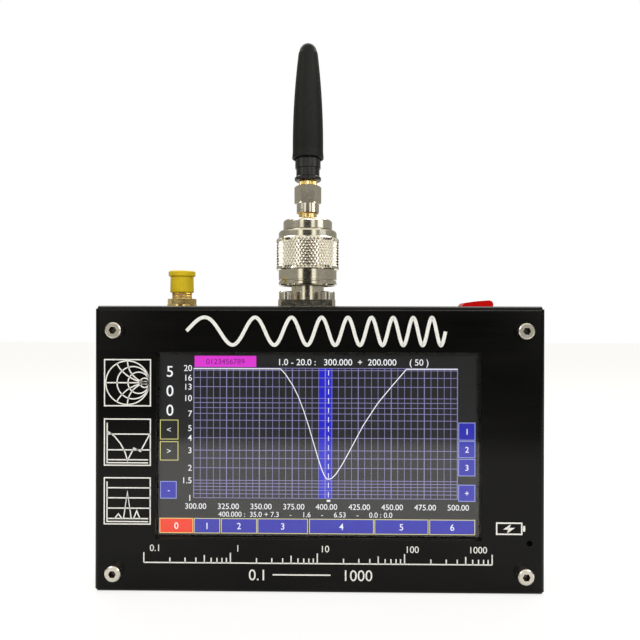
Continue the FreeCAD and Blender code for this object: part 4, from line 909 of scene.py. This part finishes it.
def draw_grid(figure):
    for step in range(41):
        x = GRID_LEFT + 10 * step
        figure.path([(x, GRID_TOP), (x, GRID_LOW)], 1.3 if step % 5 == 0 else 0.75)
    for ratio in RATIO_LINES:
        y = ratio_level(ratio)
        figure.path([(GRID_LEFT, y), (GRID_RIGHT, y)], 0.9)


def draw_numbers(figure):
    for text in RATIO_NUMBERS:
        figure.words(text, 49.5, ratio_level(float(text)), 9.4, "RIGHT", 0.006)
    for index in range(9):
        figure.words(f"{300 + 25 * index}.00", 55 + 49.8 * index, 230, 8.8)
    figure.words("1.0 - 20.0 :   300.000  +  200.000     ( 50 )", 294, 10.5, 9.8, weight=0.012)
    readings = "400.000 :  35.0 + 7.3     -     1.6     -     6.53     -     0.0 : 0.0"
    figure.words(readings, 222, 242, 8.0)
    for text, y in (("5", 25), ("0", 54.5), ("0", 84)):
        figure.words(text, 15.5, y, 17, weight=0.02)
    for text, y in (("<", 114), (">", 146.5), ("-", 205.5)):
        figure.words(text, 14, y, 9)
    for top, low, text in SIDE_KEYS:
        figure.words(text, 466.5, (top + low) / 2, 9, weight=0.01)
    for index, (left, right) in enumerate(KEYS):
        figure.words(str(index), (left + right) / 2, (KEY_TOP + KEY_LOW) / 2, 10, weight=0.01)


def make_screen():
    """Flat layers of colour just in front of the screen's face."""
    layers = []

    def layer(name, colour, strength, draw):
        figure = Screen()
        draw(figure)
        back = PICTURE_BACK - LAYER * len(layers)
        material = glow(name, colour, strength)
        layers.append(figure.piece(name, material, "screen", back, LAYER * 0.8))

    layer("screen_ground", (0.0010, 0.0010, 0.0035), 1.0, lambda f: f.area(0, 0, 480, DOTS_HIGH))
    layer("screen_band", (0.0, 0.0, 0.62), 1.0,
          lambda f: f.area(242, GRID_TOP, 263, GRID_LOW))

    def blue_keys(figure):
        for left, right in KEYS[1:]:
            figure.area(left, KEY_TOP, right, KEY_LOW)
        for top, low, _ in SIDE_KEYS:
            figure.area(453.5, top, 479, low)
        figure.area(1, 192.5, 26, 219)

    layer("screen_keys", (0.010, 0.012, 0.42), 1.0, blue_keys)
    layer("screen_first_key", (0.95, 0.03, 0.0), 1.0,
          lambda f: f.area(KEYS[0][0], KEY_TOP, KEYS[0][1], KEY_LOW))
    layer("screen_label", (0.75, 0.03, 0.65), 1.0, lambda f: f.area(53, 1.5, 147, 18.5))
    layer("screen_label_numbers", (0.12, 0.0, 0.16), 1.0,
          lambda f: f.words("0123456789", 100, 10, 8.5))
    layer("screen_grid", (0.27, 0.25, 0.52), 1.0, draw_grid)

    def yellow_edges(figure):
        for left, right in KEYS:
            figure.edge(left, KEY_TOP, right, KEY_LOW)
        figure.edge(0.5, 99, 28.5, 129)
        figure.edge(0.5, 132, 28.5, 161)

    layer("screen_yellow_edges", (0.80, 0.74, 0.25), 1.0, yellow_edges)

    def pale_edges(figure):
        for top, low, _ in SIDE_KEYS:
            figure.edge(453.5, top, 479, low)
        figure.edge(1, 192.5, 26, 219)

    layer("screen_pale_edges", (0.35, 0.4, 0.8), 1.0, pale_edges)

    def white(figure):
        draw_numbers(figure)
        figure.path(TRACE, 1.35)
        for index in range(14):
            y = GRID_TOP + 3 + 14.2 * index
            figure.path([(257, y), (257, y + 8)], 1.1)
        figure.area(254.5, 219.5, 260, 222.5)

    layer("screen_white", (0.95, 0.96, 0.99), 1.0, white)


# Floor, background and light


def stage_plane(name, width, depth, centre, material, turn=(0.0, 0.0, 0.0)):
    mesh = bpy.data.meshes.new(name)
    w = width / 2 * MM
    d = depth / 2 * MM
    mesh.from_pydata([(-w, -d, 0), (w, -d, 0), (w, d, 0), (-w, d, 0)], [], [(0, 1, 2, 3)])
    mesh.materials.append(material)
    plane = bpy.data.objects.new(name, mesh)
    scene.collection.objects.link(plane)
    plane.location = Vector(centre) * MM
    plane.rotation_euler = turn
    return plane


FLOOR_GLOW = 1.04
FLOOR_GLOW_SHARE = 0.72
FLOOR_SHADE = 0.82
PAST_TABLE = 0.04
TABLE_EDGE = -0.235
TABLE_EDGE_HALF = 0.02


def smooth(tree, value, low, high, start=0.0, end=1.0):
    """A smooth step of a value from one level to another."""
    step = tree.nodes.new("ShaderNodeMapRange")
    step.interpolation_type = "SMOOTHSTEP"
    step.inputs["From Min"].default_value = low
    step.inputs["From Max"].default_value = high
    step.inputs["To Min"].default_value = start
    step.inputs["To Max"].default_value = end
    tree.links.new(value, step.inputs["Value"])
    return step.outputs["Result"]


def times(tree, *values):
    """The product of some values."""
    result = values[0]
    for value in values[1:]:
        product = tree.nodes.new("ShaderNodeMath")
        product.operation = "MULTIPLY"
        for socket, source in zip(product.inputs, (result, value)):
            if isinstance(source, float):
                socket.default_value = source
            else:
                tree.links.new(source, socket)
        result = product.outputs["Value"]
    return result


def floor_material():
    """Pale floor that the camera sees nearly white, with the object's shadow kept.

    Only reflections see that the table ends in front of the object.
    """
    material = bpy.data.materials.new("floor")
    material.use_nodes = True
    tree = material.node_tree
    shader = tree.nodes["Principled BSDF"]
    output = tree.nodes["Material Output"]
    shader.inputs["Roughness"].default_value = 0.7
    light = tree.nodes.new("ShaderNodeEmission")
    light.inputs["Color"].default_value = (1.0, 1.0, 1.0, 1.0)
    light.inputs["Strength"].default_value = FLOOR_GLOW
    path = tree.nodes.new("ShaderNodeLightPath")
    place = tree.nodes.new("ShaderNodeTexCoord")
    split = tree.nodes.new("ShaderNodeSeparateXYZ")
    tree.links.new(place.outputs["Object"], split.inputs["Vector"])
    edge = (TABLE_EDGE - TABLE_EDGE_HALF, TABLE_EDGE + TABLE_EDGE_HALF)
    near = smooth(tree, split.outputs["Y"], *edge)
    pale = tree.nodes.new("ShaderNodeMath")
    pale.operation = "MAXIMUM"
    tree.links.new(near, pale.inputs[0])
    tree.links.new(path.outputs["Is Camera Ray"], pale.inputs[1])
    shade = tree.nodes.new("ShaderNodeMapRange")
    shade.inputs["To Min"].default_value = PAST_TABLE
    shade.inputs["To Max"].default_value = FLOOR_SHADE
    tree.links.new(pale.outputs["Value"], shade.inputs["Value"])
    tree.links.new(shade.outputs["Result"], shader.inputs["Base Color"])
    share = tree.nodes.new("ShaderNodeMath")
    share.operation = "MULTIPLY"
    share.inputs[1].default_value = FLOOR_GLOW_SHARE
    mix = tree.nodes.new("ShaderNodeMixShader")
    tree.links.new(path.outputs["Is Camera Ray"], share.inputs[0])
    tree.links.new(share.outputs[0], mix.inputs["Fac"])
    tree.links.new(shader.outputs["BSDF"], mix.inputs[1])
    tree.links.new(light.outputs["Emission"], mix.inputs[2])
    tree.links.new(mix.outputs["Shader"], output.inputs["Surface"])
    return material


# What the object reflects: a dim room, a dark figure at the camera, bright strips beside
# it and a bright band above it. Angles are in degrees from the way to the camera.


ROOM = 0.42
ROOM_TINT = (1.0, 0.96, 0.82, 1.0)
FIGURE_HALF = 17.0
FIGURE_LOW = -30.0
FIGURE_HIGH = 10.5
STRIP_HALF = 34.0
STRIP = 1.2
BAND_LOW = 24.0
BAND_HIGH = 38.0
BAND_LEFT = -28.0
BAND_RIGHT = 62.0
BAND = 2.6
SKY_FROM = 50.0
SKY_WIDTH = 30.0
SKY = 0.9
FIGURE_SHARE = 0.06


def make_world():
    world = bpy.data.worlds.new("studio")
    scene.world = world
    world.use_nodes = True
    tree = world.node_tree
    tree.nodes.clear()
    place = tree.nodes.new("ShaderNodeTexCoord")
    split = tree.nodes.new("ShaderNodeSeparateXYZ")
    tree.links.new(place.outputs["Generated"], split.inputs["Vector"])
    ahead = times(tree, split.outputs["Y"], -1.0)
    bearing = tree.nodes.new("ShaderNodeMath")
    bearing.operation = "ARCTAN2"
    tree.links.new(split.outputs["X"], bearing.inputs[0])
    tree.links.new(ahead, bearing.inputs[1])
    side = tree.nodes.new("ShaderNodeMath")
    side.operation = "ABSOLUTE"
    tree.links.new(bearing.outputs["Value"], side.inputs[0])
    turn = bearing.outputs["Value"]
    aside = side.outputs["Value"]
    height = split.outputs["Z"]

    def rises(value, angle, width, sine=False, falls=False):
        """1 past an angle and 0 before it, or the other way round."""
        low = math.radians(angle - width / 2)
        high = math.radians(angle + width / 2)
        if sine:
            low = math.sin(low)
            high = math.sin(high)
        ends = (1.0, 0.0) if falls else (0.0, 1.0)
        return smooth(tree, value, low, high, *ends)

    figure = times(
        tree,
        rises(aside, FIGURE_HALF, 4, falls=True),
        rises(height, FIGURE_LOW, 4, sine=True),
        rises(height, FIGURE_HIGH, 3, sine=True, falls=True),
    )
    strips = times(
        tree,
        rises(aside, FIGURE_HALF + 2, 4),
        rises(aside, STRIP_HALF, 8, falls=True),
        rises(height, -4, 6, sine=True),
        rises(height, BAND_LOW, 6, sine=True, falls=True),
        STRIP,
    )
    band = times(
        tree,
        rises(turn, BAND_LEFT, 16),
        rises(turn, BAND_RIGHT, 16, falls=True),
        rises(height, BAND_LOW, 6, sine=True),
        rises(height, BAND_HIGH, 6, sine=True, falls=True),
        BAND,
    )
    sky = times(tree, rises(height, SKY_FROM, SKY_WIDTH, sine=True), SKY)
    total = sky
    for part in (strips, band):
        add = tree.nodes.new("ShaderNodeMath")
        add.operation = "ADD"
        tree.links.new(total, add.inputs[0])
        tree.links.new(part, add.inputs[1])
        total = add.outputs["Value"]
    lit = tree.nodes.new("ShaderNodeMath")
    lit.operation = "ADD"
    lit.inputs[1].default_value = ROOM
    tree.links.new(total, lit.inputs[0])
    open_room = smooth(tree, figure, 0.0, 1.0, 1.0, FIGURE_SHARE)
    level = times(tree, lit.outputs["Value"], open_room)
    soft = tree.nodes.new("ShaderNodeBackground")
    soft.inputs["Color"].default_value = ROOM_TINT
    tree.links.new(level, soft.inputs["Strength"])
    seen = tree.nodes.new("ShaderNodeBackground")
    seen.inputs["Color"].default_value = (1.0, 1.0, 1.0, 1.0)
    path = tree.nodes.new("ShaderNodeLightPath")
    mix = tree.nodes.new("ShaderNodeMixShader")
    output = tree.nodes.new("ShaderNodeOutputWorld")
    tree.links.new(path.outputs["Is Camera Ray"], mix.inputs["Fac"])
    tree.links.new(soft.outputs["Background"], mix.inputs[1])
    tree.links.new(seen.outputs["Background"], mix.inputs[2])
    tree.links.new(mix.outputs["Shader"], output.inputs["Surface"])


# Name, place, width and height, and power of each softbox, all aimed at one point.

SOFTBOX_AIM = (0, 0, 70)
SOFTBOXES = (
    ("front_strip", (90, -560, 400), (560, 25), 0.8),
    ("key_left", (-460, -260, 420), (300, 400), 0.9),
    ("key_right", (480, -240, 380), (300, 400), 0.9),
    ("top_back", (0, 260, 520), (600, 200), 2.2),
)


def softbox(name, place, size, power):
    data = bpy.data.lights.new(name, "AREA")
    data.shape = "RECTANGLE"
    data.size = size[0] * MM
    data.size_y = size[1] * MM
    data.energy = power
    lamp = bpy.data.objects.new(name, data)
    scene.collection.objects.link(lamp)
    lamp.location = Vector(place) * MM
    lamp.rotation_mode = "QUATERNION"
    direction = Vector(SOFTBOX_AIM) - Vector(place)
    lamp.rotation_quaternion = direction.to_track_quat("-Z", "Y")


def make_stage():
    stage_plane("floor", 4000, 4000, (0, 0, -0.02), floor_material())
    for box in SOFTBOXES:
        softbox(*box)
    make_world()


make_camera()
dress_nodes()
make_coupling_nut()
make_gold_barrel()
make_ferrule()
make_engraving()
make_screen()
make_stage()
scene.view_settings.view_transform = "Standard"
